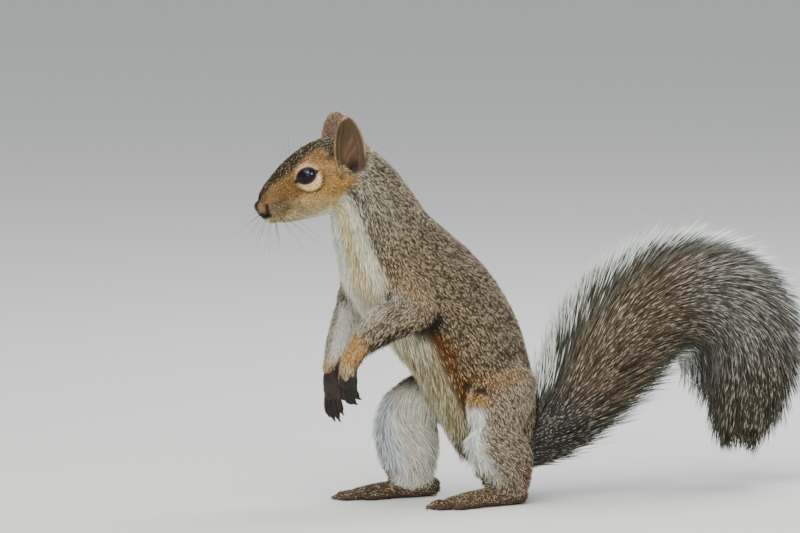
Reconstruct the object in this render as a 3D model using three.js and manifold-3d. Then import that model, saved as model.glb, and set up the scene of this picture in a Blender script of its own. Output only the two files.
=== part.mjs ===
// A life-size eastern grey squirrel that stands up on its hind legs, as a still model.
//
// Millimetres, +Z up. The animal faces -Y, its left side is +X, and both soles lie on z = 0.
// The body is one form parted by thin cuts: head, jaw, neck, chest, belly and hips, two ears, two eyes,
// two arms of three lengths, two legs of three lengths, and a tail of six lengths. Each sweep below is the
// furred outline of a limb. The long coat of the tail is made lock by lock on a core.

import * as THREE from "three";
import { mergeVertices } from "three/addons/utils/BufferGeometryUtils.js";
import Module from "manifold-3d";

const wasm = await Module();
wasm.setup();

// ---------------------------------------------------------------- driving dimensions

const GAP = 0.3; // between neighbouring pieces
const HEAD_LENGTH = 70; // nose tip to back of skull, over the fur
const HEAD_PIVOT = [0, -73.5, 186]; // where the head turns on the neck
const HEAD_YAW = 14; // degrees, to the animal's right
const HEAD_PITCH = 24.5; // degrees, nose down
const EYE_RADIUS = 6.2;
const EAR_HEIGHT = 29.5;
const EAR_WIDTH = 19.6;
const EAR_WALL = 1.3;
const PALM_LENGTH = 13;
const FINGER_LENGTH = 13.5;
const FINGER_RADIUS = 1.75;
const FOOT_LENGTH = 48; // heel to the roots of the toes
const TOE_LENGTH = 15;
const TOE_RADIUS = 2.5;
const CLAW_LENGTH = 3.8;
const CORE_SHARE = 0.48; // tail core, as a share of the half width of the brush
const TAIL_FLATNESS = 0.74; // half width of the brush across, as a share of its outer reach
const LOCK_COLUMNS = 8; // rows of locks round the tail
const LOCK_SPACING = 15.3; // between the locks of a row, half way out in the brush
const LOCK_COVER = 0.95; // width of a lock, as a share of the room between two rows
const LOCK_THICKNESS = 3.6;
const LOCK_ADVANCE = 38; // how far a lock runs towards the tail's tip
const MIDDLE = [0, 40, 0]; // the middle of the bounding box at floor level, which is the origin

const vec = (x, y, z) => new THREE.Vector3(x, y, z);
const X_AXIS = vec(1, 0, 0);
const Z_UP = vec(0, 0, 1);

// ---------------------------------------------------------------- seeded chance

let seed = 7;
function chance(low, high) {
  seed = (seed * 1664525 + 1013904223) % 4294967296;
  return low + ((high - low) * seed) / 4294967296;
}

// ---------------------------------------------------------------- solids, joined and cut

function solidOf(geometry) {
  const bare = geometry.clone();
  bare.deleteAttribute("normal");
  bare.deleteAttribute("uv");
  const merged = mergeVertices(bare, 1e-4);
  return new wasm.Manifold(
    new wasm.Mesh({
      numProp: 3,
      vertProperties: new Float32Array(merged.attributes.position.array),
      triVerts: new Uint32Array(merged.index.array),
    }),
  );
}

function joined(solids) {
  return solids.reduce((whole, solid) => whole.add(solid));
}

function without(solid, others) {
  return others.reduce((rest, other) => rest.subtract(other), solid);
}

function largestPiece(solid) {
  return solid.decompose().sort((a, b) => b.volume() - a.volume())[0];
}

function geometryOf(solid) {
  const mesh = solid.getMesh();
  const geometry = new THREE.BufferGeometry();
  const points = new Float32Array(mesh.numVert * 3);
  for (let i = 0; i < mesh.numVert; i++)
    for (let k = 0; k < 3; k++)
      points[i * 3 + k] = mesh.vertProperties[i * mesh.numProp + k];
  geometry.setAttribute("position", new THREE.BufferAttribute(points, 3));
  geometry.setIndex(new THREE.BufferAttribute(new Uint32Array(mesh.triVerts), 1));
  geometry.computeVertexNormals();
  return geometry;
}

// ---------------------------------------------------------------- sweeps

// A station is { at, wide, back, front }: the middle of a section, its half width along the lateral
// axis, and how far it reaches to the back and to the front of that axis.
function station(at, wide, back, front = back) {
  return { at, wide, back, front };
}

class Limb {
  constructor(stations, lateral = X_AXIS) {
    this.lateral = lateral;
    this.last = stations.length - 1;
    this.path = new THREE.CatmullRomCurve3(stations.map((s) => vec(...s.at)));
    this.sizes = new THREE.CatmullRomCurve3(stations.map((s) => vec(s.wide, s.back, s.front)));
  }

  // The section at station number n, which may lie between two stations.
  section(n) {
    const t = THREE.MathUtils.clamp(n / this.last, 0, 1);
    const middle = this.path.getPoint(t);
    const along = this.path.getTangent(t);
    const side = this.lateral.clone().addScaledVector(along, -this.lateral.dot(along)).normalize();
    const back = side.clone().cross(along);
    const size = this.sizes.getPoint(t);
    return { middle, along, side, back, size };
  }

  // A point on the furred outline at station n and angle a, where 0 is the left side and 90 the back.
  outline(n, a, grow = 0) {
    const s = this.section(n);
    const reach = Math.sin(a) > 0 ? s.size.y : s.size.z;
    return s.middle
      .clone()
      .addScaledVector(s.side, (s.size.x + grow) * Math.cos(a))
      .addScaledVector(s.back, (reach + grow) * Math.sin(a));
  }

  // The closed solid between two stations, with flat or domed ends.
  solid({ from = 0, to = this.last, rings = 8, sides = 16, grow = 0, cut = 0, dome = [0, 0] }) {
    const points = [];
    const faces = [];
    for (let i = 0; i <= rings; i++) {
      const n = from + ((to - from) * i) / rings;
      const { along } = this.section(n);
      const shift = i === 0 ? cut - grow : i === rings ? grow - cut : 0;
      for (let j = 0; j < sides; j++)
        points.push(this.outline(n, (2 * Math.PI * j) / sides, grow).addScaledVector(along, shift));
    }
    for (let i = 0; i < rings; i++)
      for (let j = 0; j < sides; j++) {
        const a = i * sides + j;
        const b = i * sides + ((j + 1) % sides);
        faces.push(a, a + sides, b + sides, a, b + sides, b);
      }
    [from, to].forEach((n, end) => {
      const { middle, along } = this.section(n);
      const sign = end === 0 ? -1 : 1;
      const pole = points.length;
      points.push(middle.clone().addScaledVector(along, sign * (dome[end] + grow - cut)));
      const first = end === 0 ? 0 : rings * sides;
      for (let j = 0; j < sides; j++) {
        const a = first + j;
        const b = first + ((j + 1) % sides);
        if (end === 0) faces.push(pole, a, b);
        else faces.push(pole, b, a);
      }
    });
    const geometry = new THREE.BufferGeometry().setFromPoints(points);
    geometry.setIndex(faces);
    return solidOf(geometry);
  }
}

// ---------------------------------------------------------------- head

const yaw = THREE.MathUtils.degToRad(HEAD_YAW);
const pitch = THREE.MathUtils.degToRad(HEAD_PITCH);
const headBack = vec(Math.sin(yaw) * Math.cos(pitch), Math.cos(yaw) * Math.cos(pitch), Math.sin(pitch));
const headLeft = vec(Math.cos(yaw), -Math.sin(yaw), 0);
const headUp = headLeft.clone().cross(headBack);
const PIVOT_IN_HEAD = [55, -5]; // back from the nose tip and up, on the middle line
const noseTip = vec(...HEAD_PIVOT)
  .addScaledVector(headBack, -PIVOT_IN_HEAD[0])
  .addScaledVector(headUp, -PIVOT_IN_HEAD[1]);

// A point of the head from its place: left of the middle, back from the nose tip, and up.
function inHead(left, back, up) {
  return noseTip
    .clone()
    .addScaledVector(headLeft, left)
    .addScaledVector(headBack, back)
    .addScaledVector(headUp, up);
}

const headMatrix = new THREE.Matrix4().makeBasis(headLeft, headBack, headUp).setPosition(noseTip);

// Sections of the skull from the nose to the nape: back from the nose tip, top, bottom, half width.
const SKULL = [
  [0.2, -0.6, -5.2, 2.6],
  [1.4, 1.6, -8.2, 4.2],
  [4.5, 3.7, -11.2, 5.6],
  [9, 6.4, -12.7, 7.4],
  [14, 9.3, -13.2, 9.6],
  [20, 12.3, -14, 12.2],
  [27, 15.4, -16.6, 15],
  [34, 17.2, -19.6, 17.2],
  [42, 17.5, -21.6, 18.6],
  [50, 16.4, -21.6, 18.8],
  [58, 13.4, -19.2, 17.6],
  [65, 10.4, -14, 14],
  [HEAD_LENGTH - 1, 5, -8, 9],
];

// The lower jaw, from the chin to where it goes into the throat.
const JAW = [
  [7.6, -11.5, -14.2, 2.2],
  [9.5, -11, -16, 3.8],
  [14, -10, -17.8, 5.8],
  [21, -9, -19.6, 8.6],
  [29, -9, -21.4, 11.2],
  [37, -10, -23.2, 12.4],
];

function headLimb(rows) {
  return new Limb(
    rows.map(([back, top, bottom, wide]) => {
      const height = (top - bottom) / 2;
      return station(inHead(0, back, (top + bottom) / 2).toArray(), wide, height);
    }),
    headLeft,
  );
}

const SKULL_SHAPE = { rings: 17, sides: 18, dome: [0.6, 2] };
const JAW_SHAPE = { rings: 7, sides: 12, dome: [0.8, 0] };
const skull = headLimb(SKULL);
const jaw = headLimb(JAW);

function eyeball(side, grow = 0) {
  const ball = new THREE.SphereGeometry(EYE_RADIUS + grow, 12, 8);
  ball.translate(...eyePlace(side).toArray());
  return solidOf(ball);
}

function eyePlace(side) {
  return inHead(side * 11.5, 31.1, 3.7);
}

// The rim of both lids round an eye.
function lids(side) {
  const rim = new THREE.TorusGeometry(EYE_RADIUS * 0.93, 1.35, 5, 14);
  rim.scale(1.02, 0.9, 1);
  const outward = headLeft
    .clone()
    .multiplyScalar(side)
    .addScaledVector(headBack, -0.2)
    .addScaledVector(headUp, 0.16)
    .normalize();
  const along = headBack.clone().addScaledVector(outward, -headBack.dot(outward)).normalize();
  const frame = new THREE.Matrix4().makeBasis(along, outward.clone().cross(along), outward);
  frame.setPosition(eyePlace(side).addScaledVector(outward, EYE_RADIUS * 0.46));
  return solidOf(rim.applyMatrix4(frame));
}

// An ellipsoid in the head's own frame.
function headEllipsoid([left, back, up], [wide, long, high], tilt = 0) {
  const ball = new THREE.SphereGeometry(1, 9, 6);
  ball.scale(wide, long, high);
  ball.rotateX(tilt);
  ball.translate(left, back, up);
  return solidOf(ball.applyMatrix4(headMatrix));
}

// The full forms on one side of the head: the upper lip with its whisker pad, the cheek and the brow.
function lip(side, grow = 0) {
  return headEllipsoid([side * 3.2, 7, -9.6], [4 + grow, 6.4 + grow, 4.4 + grow], -0.25);
}

function cheek(side, grow = 0) {
  return headEllipsoid([side * 11.2, 31, -8.5], [6.6 + grow, 11.5 + grow, 7 + grow], 0.1);
}

function brow(side) {
  return headEllipsoid([side * 11.4, 31, 8.4], [5, 8.5, 3.6], 0.35);
}

function nostril(side) {
  return headEllipsoid([side * 2.6, 0.2, -2.9], [1.1, 1.9, 0.75], 0.5);
}

function headSolid() {
  const nosePad = headEllipsoid([0, 1.6, -2.2], [3.5, 2.6, 3.2], -0.5);
  const forms = [1, -1].flatMap((side) => [lip(side), cheek(side), brow(side), lids(side)]);
  const cuts = [1, -1].flatMap((side) => [nostril(side), eyeball(side, GAP)]);
  return without(joined([skull.solid(SKULL_SHAPE), nosePad, ...forms]), cuts);
}

// What the jaw is cut clear of, which leaves the line of the mouth.
function grownHeadForms() {
  const forms = [1, -1].flatMap((side) => [lip(side, GAP), cheek(side, GAP)]);
  return [skull.solid({ ...SKULL_SHAPE, grow: GAP }), ...forms];
}

// ---------------------------------------------------------------- ears

// An ear is a cupped leaf with a wall: its sections are arcs, open to the outside and a little forward.
const EAR_ROOT = [18.2, 54.1, -5]; // left, back, up in the head
const EAR_LEAN = [-1.6, 8.2]; // how far the tip stands out to the side, and back, of its root
const EAR_CUP = 4.6; // depth of the cup

function earShape(t) {
  return Math.pow(Math.sin(Math.PI * (0.2 + 0.8 * Math.min(t, 0.995))), 0.42) * (1 - 0.1 * t);
}

function ear(side, grow = 0) {
  const rows = 8;
  const columns = 6;
  const front = [];
  const rear = [];
  for (let i = 0; i <= rows; i++) {
    const t = i / rows;
    const half = (EAR_WIDTH / 2) * earShape(t) + grow;
    const up = EAR_ROOT[2] + EAR_HEIGHT * t;
    for (let j = 0; j <= columns; j++) {
      const s = (2 * j) / columns - 1;
      const cup = EAR_CUP * (s * s - 1) * (1 - 0.55 * t) * (half / EAR_WIDTH) * 2;
      const wall = (EAR_WALL / 2 + grow) * (1 - 0.25 * Math.abs(s));
      const left = EAR_ROOT[0] + EAR_LEAN[0] * t + cup - 1.6 * s;
      const back = EAR_ROOT[1] + EAR_LEAN[1] * t + half * s;
      front.push(inHead(side * (left + wall), back, up));
      rear.push(inHead(side * (left - wall), back, up));
    }
  }
  const across = columns + 1;
  const faces = [];
  const push = (a, b, c) => (side > 0 ? faces.push(a, b, c) : faces.push(a, c, b));
  const shift = front.length;
  for (let i = 0; i < rows; i++)
    for (let j = 0; j < columns; j++) {
      const a = i * across + j;
      push(a, a + 1, a + across + 1);
      push(a, a + across + 1, a + across);
      push(shift + a, shift + a + across + 1, shift + a + 1);
      push(shift + a, shift + a + across, shift + a + across + 1);
    }
  const border = [];
  for (let j = 0; j < columns; j++) border.push(j);
  for (let i = 0; i < rows; i++) border.push(i * across + columns);
  for (let j = columns; j > 0; j--) border.push(rows * across + j);
  for (let i = rows; i > 0; i--) border.push(i * across);
  border.forEach((a, k) => {
    const b = border[(k + 1) % border.length];
    push(a, shift + b, b);
    push(a, shift + a, shift + b);
  });
  const geometry = new THREE.BufferGeometry().setFromPoints([...front, ...rear]);
  geometry.setIndex(faces);
  return solidOf(geometry);
}

// ---------------------------------------------------------------- neck and trunk

// The trunk runs from inside the head to the rump. Half widths and depths are over the fur.
const TRUNK = new Limb([
  station([0, -76, 183], 17, 22, 16),
  station([0, -65, 168.5], 21.5, 26, 24),
  station([0, -52.5, 143.5], 25.5, 31.5, 30),
  station([0, -41, 128], 27.5, 35, 32),
  station([0, -21, 108], 29, 36.5, 33.5),
  station([0, -6, 87.5], 30, 35.5, 31.5),
  station([0, 5, 64], 29.5, 32, 28.5),
  station([0, 12, 42], 26.5, 27.5, 25),
  station([0, 15, 26.5], 19, 18, 20),
]);
const TRUNK_PIECES = {
  neck: { from: 0, to: 1.75, rings: 6 },
  chest: { from: 1.75, to: 4, rings: 7 },
  belly: { from: 4, to: 5.9, rings: 6 },
  hips: { from: 5.9, to: 8, rings: 7, dome: [0, 3] },
};

function trunkPiece(name, grow = 0) {
  return TRUNK.solid({ ...TRUNK_PIECES[name], sides: 20, cut: GAP / 2, grow });
}

// ---------------------------------------------------------------- arms

const ARMS = {
  left: {
    upper: [
      station([15, -50, 133], 10, 14, 15),
      station([22, -46, 120], 9.5, 13, 15),
      station([26, -42, 107], 8.4, 10, 15),
      station([27, -41, 101], 6.5, 6, 10),
    ],
    fore: [
      station([27.5, -37, 107], 6, 5, 6),
      station([27, -44, 106], 9, 7.6, 10.5),
      station([24.5, -56, 104], 9.5, 9, 14),
      station([22, -67.5, 98], 8.2, 8.4, 12.5),
      station([19.6, -75.5, 91], 6.2, 6.4, 7.2),
      station([17.6, -80.5, 82.5], 4.8, 5.2),
    ],
    palm: { at: [17.2, -81, 82], reach: [-1, -1.5, -12], across: [0.92, 0.38, 0] },
    curl: 1,
  },
  right: {
    upper: [
      station([-15, -52, 133], 10, 14, 14),
      station([-22, -56, 120], 9, 12, 12),
      station([-26, -60, 108], 8, 9, 9),
      station([-26.5, -61, 103], 6, 6, 7),
    ],
    fore: [
      station([-27, -59.5, 110], 4.5, 4.5),
      station([-26.5, -61.5, 106.5], 7.4, 11, 7.4),
      station([-22.5, -66.5, 94], 8, 12, 8.4),
      station([-17.5, -73.5, 81], 6, 7.4, 6.6),
      station([-15.2, -77, 72.5], 4.6, 4.8),
    ],
    palm: { at: [-15, -77.2, 72.5], reach: [1, -0.6, -12], across: [0.95, 0.3, 0] },
    curl: 0.4,
  },
};

const UPPER_ARM_SHAPE = { rings: 5, sides: 10, dome: [0, 3] };
const FOREARM_SHAPE = { rings: 7, sides: 10, dome: [2.5, 0.5] };

// Four fingers leave the end of a palm, each with its own length, and each ends in a claw.
const FINGER_SPREAD = 4.6; // from the middle of the palm to an outer knuckle
const FINGER_FAN = 0.1; // how far the outer ones lean out
const THUMB = { length: 3, radius: 1.5, curl: 0.1, hook: 0.02 };
const FINGERS = [
  { spread: -1, long: 0.85 },
  { spread: -0.34, long: 1 },
  { spread: 0.34, long: 0.98 },
  { spread: 1, long: 0.7 },
];

// A digit bends on an arc towards down, by curl radians in all, and its claw bends on by hook for each
// millimetre. The sweep thickens at the two joints.
function digit(root, forward, down, { length, radius, curl, hook }) {
  const at = (distance) => {
    const turn = (curl * Math.min(distance, length)) / length;
    const past = Math.max(distance - length, 0);
    const along = (length / curl) * Math.sin(turn) + past * Math.cos(turn + hook * past);
    const drop = (length / curl) * (1 - Math.cos(turn)) + past * Math.sin(turn + hook * past);
    return root.clone().addScaledVector(forward, along).addScaledVector(down, drop).toArray();
  };
  const limb = new Limb([
    station(at(-radius * 1.6), radius * 1.02, radius),
    station(at(length * 0.3), radius * 0.95, radius * 0.95),
    station(at(length * 0.62), radius * 1.06, radius * 1.08),
    station(at(length * 0.86), radius, radius),
    station(at(length), radius * 0.62, radius * 0.62),
  ]);
  const claw = new Limb([
    station(at(length * 0.82), radius * 0.42, radius * 0.6),
    station(at(length + CLAW_LENGTH * 0.4), radius * 0.34, radius * 0.42),
    station(at(length + CLAW_LENGTH * 0.85), radius * 0.12, radius * 0.14),
  ]);
  return joined([
    limb.solid({ rings: 4, sides: 5, dome: [0, radius * 0.3] }),
    claw.solid({ rings: 2, sides: 4, dome: [0, 0.4] }),
  ]);
}

// A hand hangs from the wrist: a palm, four fingers and the stub of a thumb. The palm faces the belly.
function hand({ palm, curl }) {
  const root = vec(...palm.at);
  const reach = vec(...palm.reach).normalize();
  const across = vec(...palm.across).normalize();
  const inward = across.clone().cross(reach).normalize();
  const at = (along, drop) =>
    root.clone().addScaledVector(reach, along).addScaledVector(inward, drop);
  const palmStation = (along, drop, wide, deep) => station(at(along, drop).toArray(), wide, deep);
  const back = new Limb(
    [
      palmStation(-4, 0, 3.6, 3.6),
      palmStation(0, 0, 4.4, 4.2),
      palmStation(PALM_LENGTH * 0.5, 0.6, 5.6, 4),
      palmStation(PALM_LENGTH * 0.92, 1.2, 6, 3.2),
      palmStation(PALM_LENGTH + 1.2, 1.6, 4.4, 2),
    ],
    across,
  );
  const fingers = FINGERS.map(({ spread, long }) => {
    const forward = reach.clone().addScaledVector(across, spread * FINGER_FAN).normalize();
    const knuckle = at(PALM_LENGTH * 0.9, 1.2).addScaledVector(across, spread * FINGER_SPREAD);
    const size = { length: FINGER_LENGTH * long, radius: FINGER_RADIUS, curl, hook: 0.1 };
    return digit(knuckle, forward, inward, size);
  });
  const thumbWay = reach.clone().addScaledVector(inward, 0.8).normalize();
  const thumb = digit(at(PALM_LENGTH * 0.55, 3), thumbWay, inward, THUMB);
  return joined([back.solid({ rings: 5, sides: 8, dome: [0, 0.8] }), ...fingers, thumb]);
}

// ---------------------------------------------------------------- legs

const LEGS = {
  left: {
    thigh: [
      station([17, 19, 74], 11, 15.6, 19),
      station([23, 12, 62], 12.5, 18, 21),
      station([28.5, 3.5, 50], 12, 17, 21.5),
      station([31, -1.5, 41], 9.5, 13, 17),
    ],
    shank: [
      station([31, -2.5, 47], 8, 11, 14.5),
      station([31, 1, 38], 11, 16.5, 19.5),
      station([30, 7.5, 24], 10.5, 17, 19),
      station([28.4, 11.5, 12.5], 8.6, 13, 13.5),
      station([27.4, 13, 6.5], 6.4, 9, 9.5),
    ],
    heel: [27, 22, 0],
    toeOut: 5,
  },
  right: {
    thigh: [
      station([-17, 13, 70], 11, 18, 19),
      station([-22.5, -3, 61], 12.5, 18, 16),
      station([-27, -20, 53.5], 11.6, 17, 14.5),
      station([-29, -29, 46], 10.5, 15, 15.5),
    ],
    shank: [
      station([-28.5, -30, 57.5], 6, 9, 10.5),
      station([-29, -29, 50], 10.5, 16, 15.5),
      station([-29, -26.5, 39], 12, 21, 19),
      station([-28.6, -23.5, 24], 11.4, 19, 18.6),
      station([-27.6, -21.5, 12.5], 8.8, 14, 15),
      station([-27, -20, 6.5], 6.4, 9.5, 10.5),
    ],
    heel: [-26.5, -6, 0],
    toeOut: 4,
  },
};

const THIGH_SHAPE = { rings: 6, sides: 14, dome: [0, 4] };
const SHANK_SHAPE = { rings: 8, sides: 14, dome: [3, 1] };

// Five toes: where each leaves the front of the foot, and its length. spread 1 is the inner toe.
const TOES = [
  { spread: 1, long: 0.62, set: 0.8 },
  { spread: 0.5, long: 0.96, set: 0.97 },
  { spread: 0, long: 1.02, set: 1 },
  { spread: -0.5, long: 0.98, set: 0.97 },
  { spread: -1, long: 0.72, set: 0.86 },
];

function foot(side, { heel, toeOut }) {
  const turn = THREE.MathUtils.degToRad(toeOut) * side;
  const forward = vec(Math.sin(turn), -Math.cos(turn), 0);
  const inner = vec(-side * Math.cos(turn), -side * Math.sin(turn), 0);
  const at = (along, across, up) =>
    vec(...heel)
      .addScaledVector(forward, along)
      .addScaledVector(inner, across)
      .addScaledVector(Z_UP, up);
  const sole = new Limb([
    station(at(1.6, 0, 4.6).toArray(), 3.6, 4.2),
    station(at(6, 0, 5.6).toArray(), 5.4, 6),
    station(at(17, 0, 5.2).toArray(), 6.6, 6.4),
    station(at(30, 0, 4).toArray(), 7.6, 5.2),
    station(at(41, 0, 3.1).toArray(), 8.6, 4.2),
    station(at(FOOT_LENGTH, 0, 2.6).toArray(), 7.4, 3.2),
  ]);
  const toes = TOES.map(({ spread, long, set }) => {
    const way = forward.clone().addScaledVector(inner, spread * 0.2).normalize();
    const knuckle = at(FOOT_LENGTH * set - 3, spread * 7, TOE_RADIUS);
    const size = { length: TOE_LENGTH * long, radius: TOE_RADIUS, curl: 0.12, hook: 0.03 };
    return digit(knuckle, way, Z_UP.clone().negate(), size);
  });
  const floor = new THREE.BoxGeometry(120, 240, 20).translate(0, 0, -10);
  const whole = joined([sole.solid({ rings: 7, sides: 10, dome: [2, 1.2] }), ...toes]);
  return without(whole, [solidOf(floor)]);
}

// ---------------------------------------------------------------- tail

// The tail's middle line, and how far its brush reaches to the outside of the arch and to the inside,
// from inside the rump to past the last hair.
function brush(y, z, outer, inner = outer) {
  return station([0, y, z], outer * TAIL_FLATNESS, outer, inner);
}

const TAIL = new Limb([
  brush(20, 30, 13),
  brush(32, 31, 16),
  brush(46, 37, 18, 21),
  brush(60, 50.5, 26, 30),
  brush(74, 70.5, 35, 40),
  brush(92, 92, 39, 42),
  brush(119, 108, 38.5, 38),
  brush(146.5, 107, 39.5, 34),
  brush(165, 89, 42.5, 35),
  brush(169, 63, 39, 34),
  brush(167.5, 44, 29, 29),
  brush(164, 27, 18, 18),
  brush(161, 14, 6, 6),
]);
const TAIL_CUTS = {
  tail_root: [0, 2.4],
  tail_lower: [2.4, 4],
  tail_rise: [4, 5.4],
  tail_arch: [5.4, 6.9],
  tail_drop: [6.9, 8.4],
  tail_tip: [8.4, 10.3],
};
const FIRST_LOCK = 1.5; // the station where the long hair starts

// How far the brush reaches at station n in the direction a round the tail.
function brushReach(n, a) {
  const { size } = TAIL.section(n);
  return Math.hypot(Math.cos(a) * size.x, Math.sin(a) * (Math.sin(a) > 0 ? size.y : size.z));
}

// A point of the tail at station n, in the direction a, at a distance from the middle line.
function tailPoint(n, a, radius) {
  const { middle, side, back } = TAIL.section(n);
  return middle
    .addScaledVector(side, Math.cos(a) * radius)
    .addScaledVector(back, Math.sin(a) * radius);
}

// The distance along the tail that one station takes at that point, longer outside a bend than inside.
function stationLength(n, a) {
  const half = brushReach(n, a) * 0.6;
  return Math.max(8, tailPoint(n + 0.25, a, half).distanceTo(tailPoint(n - 0.25, a, half)) * 2);
}

function tailCore([from, to], grow = 0) {
  const core = new Limb(
    Array.from({ length: TAIL.last + 1 }, (_, n) => {
      const { middle, size } = TAIL.section(n);
      const part = THREE.MathUtils.lerp(1, CORE_SHARE, Math.min(n / 3, 1));
      return station(middle.toArray(), size.x * part, size.y * part, size.z * part);
    }),
  );
  const rings = Math.max(4, Math.round((to - from) * 2.5));
  const tipDome = to === TAIL_CUTS.tail_tip[1] ? 3 : 0;
  return core.solid({ from, to, rings, sides: 12, grow, cut: GAP / 2, dome: [0, tipDome] });
}

// One tapered lock. It leaves the core at a slant and bends to lie along the tail.
const LOCK_SHARES = [0, 0.4, 0.75, 1];
const LOCK_WIDTHS = [0.6, 1, 0.7, 0];
const SHARP_EDGE = 5; // how much further than its faces the thin edge of a grown lock moves out

function lock({ n, a, long, wide, lift, twist }, grow = 0) {
  const advance = (LOCK_ADVANCE * long) / stationLength(n + 0.7, a);
  const width = ((2 * Math.PI * brushReach(n + advance, a) * 0.72) / LOCK_COLUMNS) * LOCK_COVER * wide;
  const root = brushReach(n, a) * THREE.MathUtils.lerp(1, CORE_SHARE, Math.min(n / 3, 1)) - 3;
  const tip = brushReach(n + advance, a) * lift;
  const middles = LOCK_SHARES.map((share) =>
    tailPoint(n + advance * share, a + twist * share, root + (tip - root) * Math.pow(share, 0.8)),
  );
  const points = [];
  for (let i = 0; i < 3; i++) {
    const along = middles[i + 1].clone().sub(middles[Math.max(i - 1, 0)]).normalize();
    const outward = middles[i].clone().sub(TAIL.section(n + advance * LOCK_SHARES[i]).middle);
    const across = outward.cross(along).normalize();
    const raised = along.clone().cross(across);
    const half = (width * LOCK_WIDTHS[i]) / 2 + grow * SHARP_EDGE;
    const thick = LOCK_THICKNESS * (1 - 0.4 * LOCK_SHARES[i]);
    const foot = middles[i].clone().addScaledVector(raised, -grow);
    if (i === 0) foot.addScaledVector(along, -grow);
    points.push(
      foot.clone().addScaledVector(across, half),
      foot.clone().addScaledVector(raised, thick + 2 * grow),
      foot.clone().addScaledVector(across, -half),
    );
  }
  const end = middles[3].clone().sub(middles[2]).normalize();
  points.push(middles[3].clone().addScaledVector(end, grow * 2));
  const faces = [0, 2, 1];
  for (let i = 0; i < 2; i++)
    for (let j = 0; j < 3; j++) {
      const p = i * 3 + j;
      const q = i * 3 + ((j + 1) % 3);
      faces.push(p, q + 3, p + 3, p, q, q + 3);
    }
  for (let j = 0; j < 3; j++) faces.push(6 + j, 6 + ((j + 1) % 3), 9);
  const geometry = new THREE.BufferGeometry().setFromPoints(points);
  geometry.setIndex(faces);
  return solidOf(geometry);
}

// The locks of the whole tail: rows round it, each with its locks evenly spaced along it, and every
// second row moved on by half a step.
function tailLocks() {
  const locks = [];
  for (let row = 0; row < LOCK_COLUMNS; row++) {
    const a = (2 * Math.PI * (row + 0.5)) / LOCK_COLUMNS;
    let n = FIRST_LOCK + (row % 2) * 0.25;
    while (n < TAIL_CUTS.tail_tip[1]) {
      locks.push({
        n: n + chance(-0.05, 0.05),
        a: a + chance(-0.1, 0.1),
        long: chance(0.9, 1.12),
        wide: chance(0.85, 1.12),
        lift: chance(0.95, 1.05),
        twist: chance(-0.1, 0.1),
      });
      n += LOCK_SPACING / stationLength(n, a);
    }
  }
  return locks;
}

// The lengths of the tail, made from the tip to the root. Each is cut clear of those already made.
function tailSolids(body) {
  const all = tailLocks();
  const made = {};
  const taken = [body];
  for (const name of Object.keys(TAIL_CUTS).reverse()) {
    const [from, to] = TAIL_CUTS[name];
    const locks = all.filter(({ n }) => n >= from && n < to);
    const whole = joined([tailCore([from, to]), ...locks.map((one) => lock(one))]);
    made[name] = largestPiece(without(whole, taken));
    taken.push(joined([tailCore([from, to], GAP), ...locks.map((one) => lock(one, GAP))]));
  }
  return made;
}

// ---------------------------------------------------------------- materials

function finish(colour, roughness) {
  return new THREE.MeshStandardMaterial({ color: colour, roughness, metalness: 0 });
}

const BACK_FUR = finish(0x7d6a55, 0.9);
const FLANK_FUR = finish(0x8a6f52, 0.9);
const HEAD_FUR = finish(0x8f6c48, 0.85);
const PALE_FUR = finish(0xd8d3c2, 0.9);
const TAIL_FUR = finish(0x77705f, 0.95);
const EAR_SKIN = finish(0x7c5748, 0.75);
const PAW_SKIN = finish(0x4a3a33, 0.7);
const EYE_GLOSS = finish(0x0d0b0a, 0.08);

// ---------------------------------------------------------------- the whole squirrel

const squirrel = new THREE.Group();
squirrel.position.set(-MIDDLE[0], -MIDDLE[1], -MIDDLE[2]);

function place(name, solid, material) {
  const mesh = new THREE.Mesh(geometryOf(largestPiece(solid)), material);
  mesh.name = name;
  squirrel.add(mesh);
}

const body = joined(Object.keys(TRUNK_PIECES).map((name) => trunkPiece(name, GAP)));
place("head", headSolid(), HEAD_FUR);
place("jaw", without(jaw.solid(JAW_SHAPE), grownHeadForms()), PALE_FUR);

const grownSkull = skull.solid({ ...SKULL_SHAPE, grow: GAP });
const grownJaw = jaw.solid({ ...JAW_SHAPE, grow: GAP });
const neckCuts = [grownSkull, grownJaw, ear(1, GAP), ear(-1, GAP)];
place("neck", without(trunkPiece("neck"), neckCuts), BACK_FUR);
place("chest", trunkPiece("chest"), BACK_FUR);
place("belly", trunkPiece("belly"), FLANK_FUR);
place("hips", trunkPiece("hips"), BACK_FUR);

for (const [name, side] of [["left", 1], ["right", -1]]) {
  place("ear_" + name, without(ear(side), [grownSkull]), EAR_SKIN);
  place("eye_" + name, eyeball(side), EYE_GLOSS);

  const arm = ARMS[name];
  const upper = new Limb(arm.upper).solid(UPPER_ARM_SHAPE);
  const forearm = new Limb(arm.fore);
  const grownForearm = forearm.solid({ ...FOREARM_SHAPE, grow: GAP });
  place("upper_arm_" + name, without(upper, [body, grownForearm]), BACK_FUR);
  place("forearm_" + name, without(forearm.solid(FOREARM_SHAPE), [body]), FLANK_FUR);
  place("hand_" + name, without(hand(arm), [grownForearm]), PAW_SKIN);

  const leg = LEGS[name];
  const thigh = new Limb(leg.thigh);
  const shank = new Limb(leg.shank);
  const grownThigh = thigh.solid({ ...THIGH_SHAPE, grow: GAP });
  const grownShank = shank.solid({ ...SHANK_SHAPE, grow: GAP });
  place("thigh_" + name, without(thigh.solid(THIGH_SHAPE), [body]), FLANK_FUR);
  place("shank_" + name, without(shank.solid(SHANK_SHAPE), [body, grownThigh]), PALE_FUR);
  place("foot_" + name, without(foot(side, leg), [grownShank]), PAW_SKIN);
}

const tail = tailSolids(body);
for (const name of Object.keys(TAIL_CUTS)) place(name, tail[name], TAIL_FUR);

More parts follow.
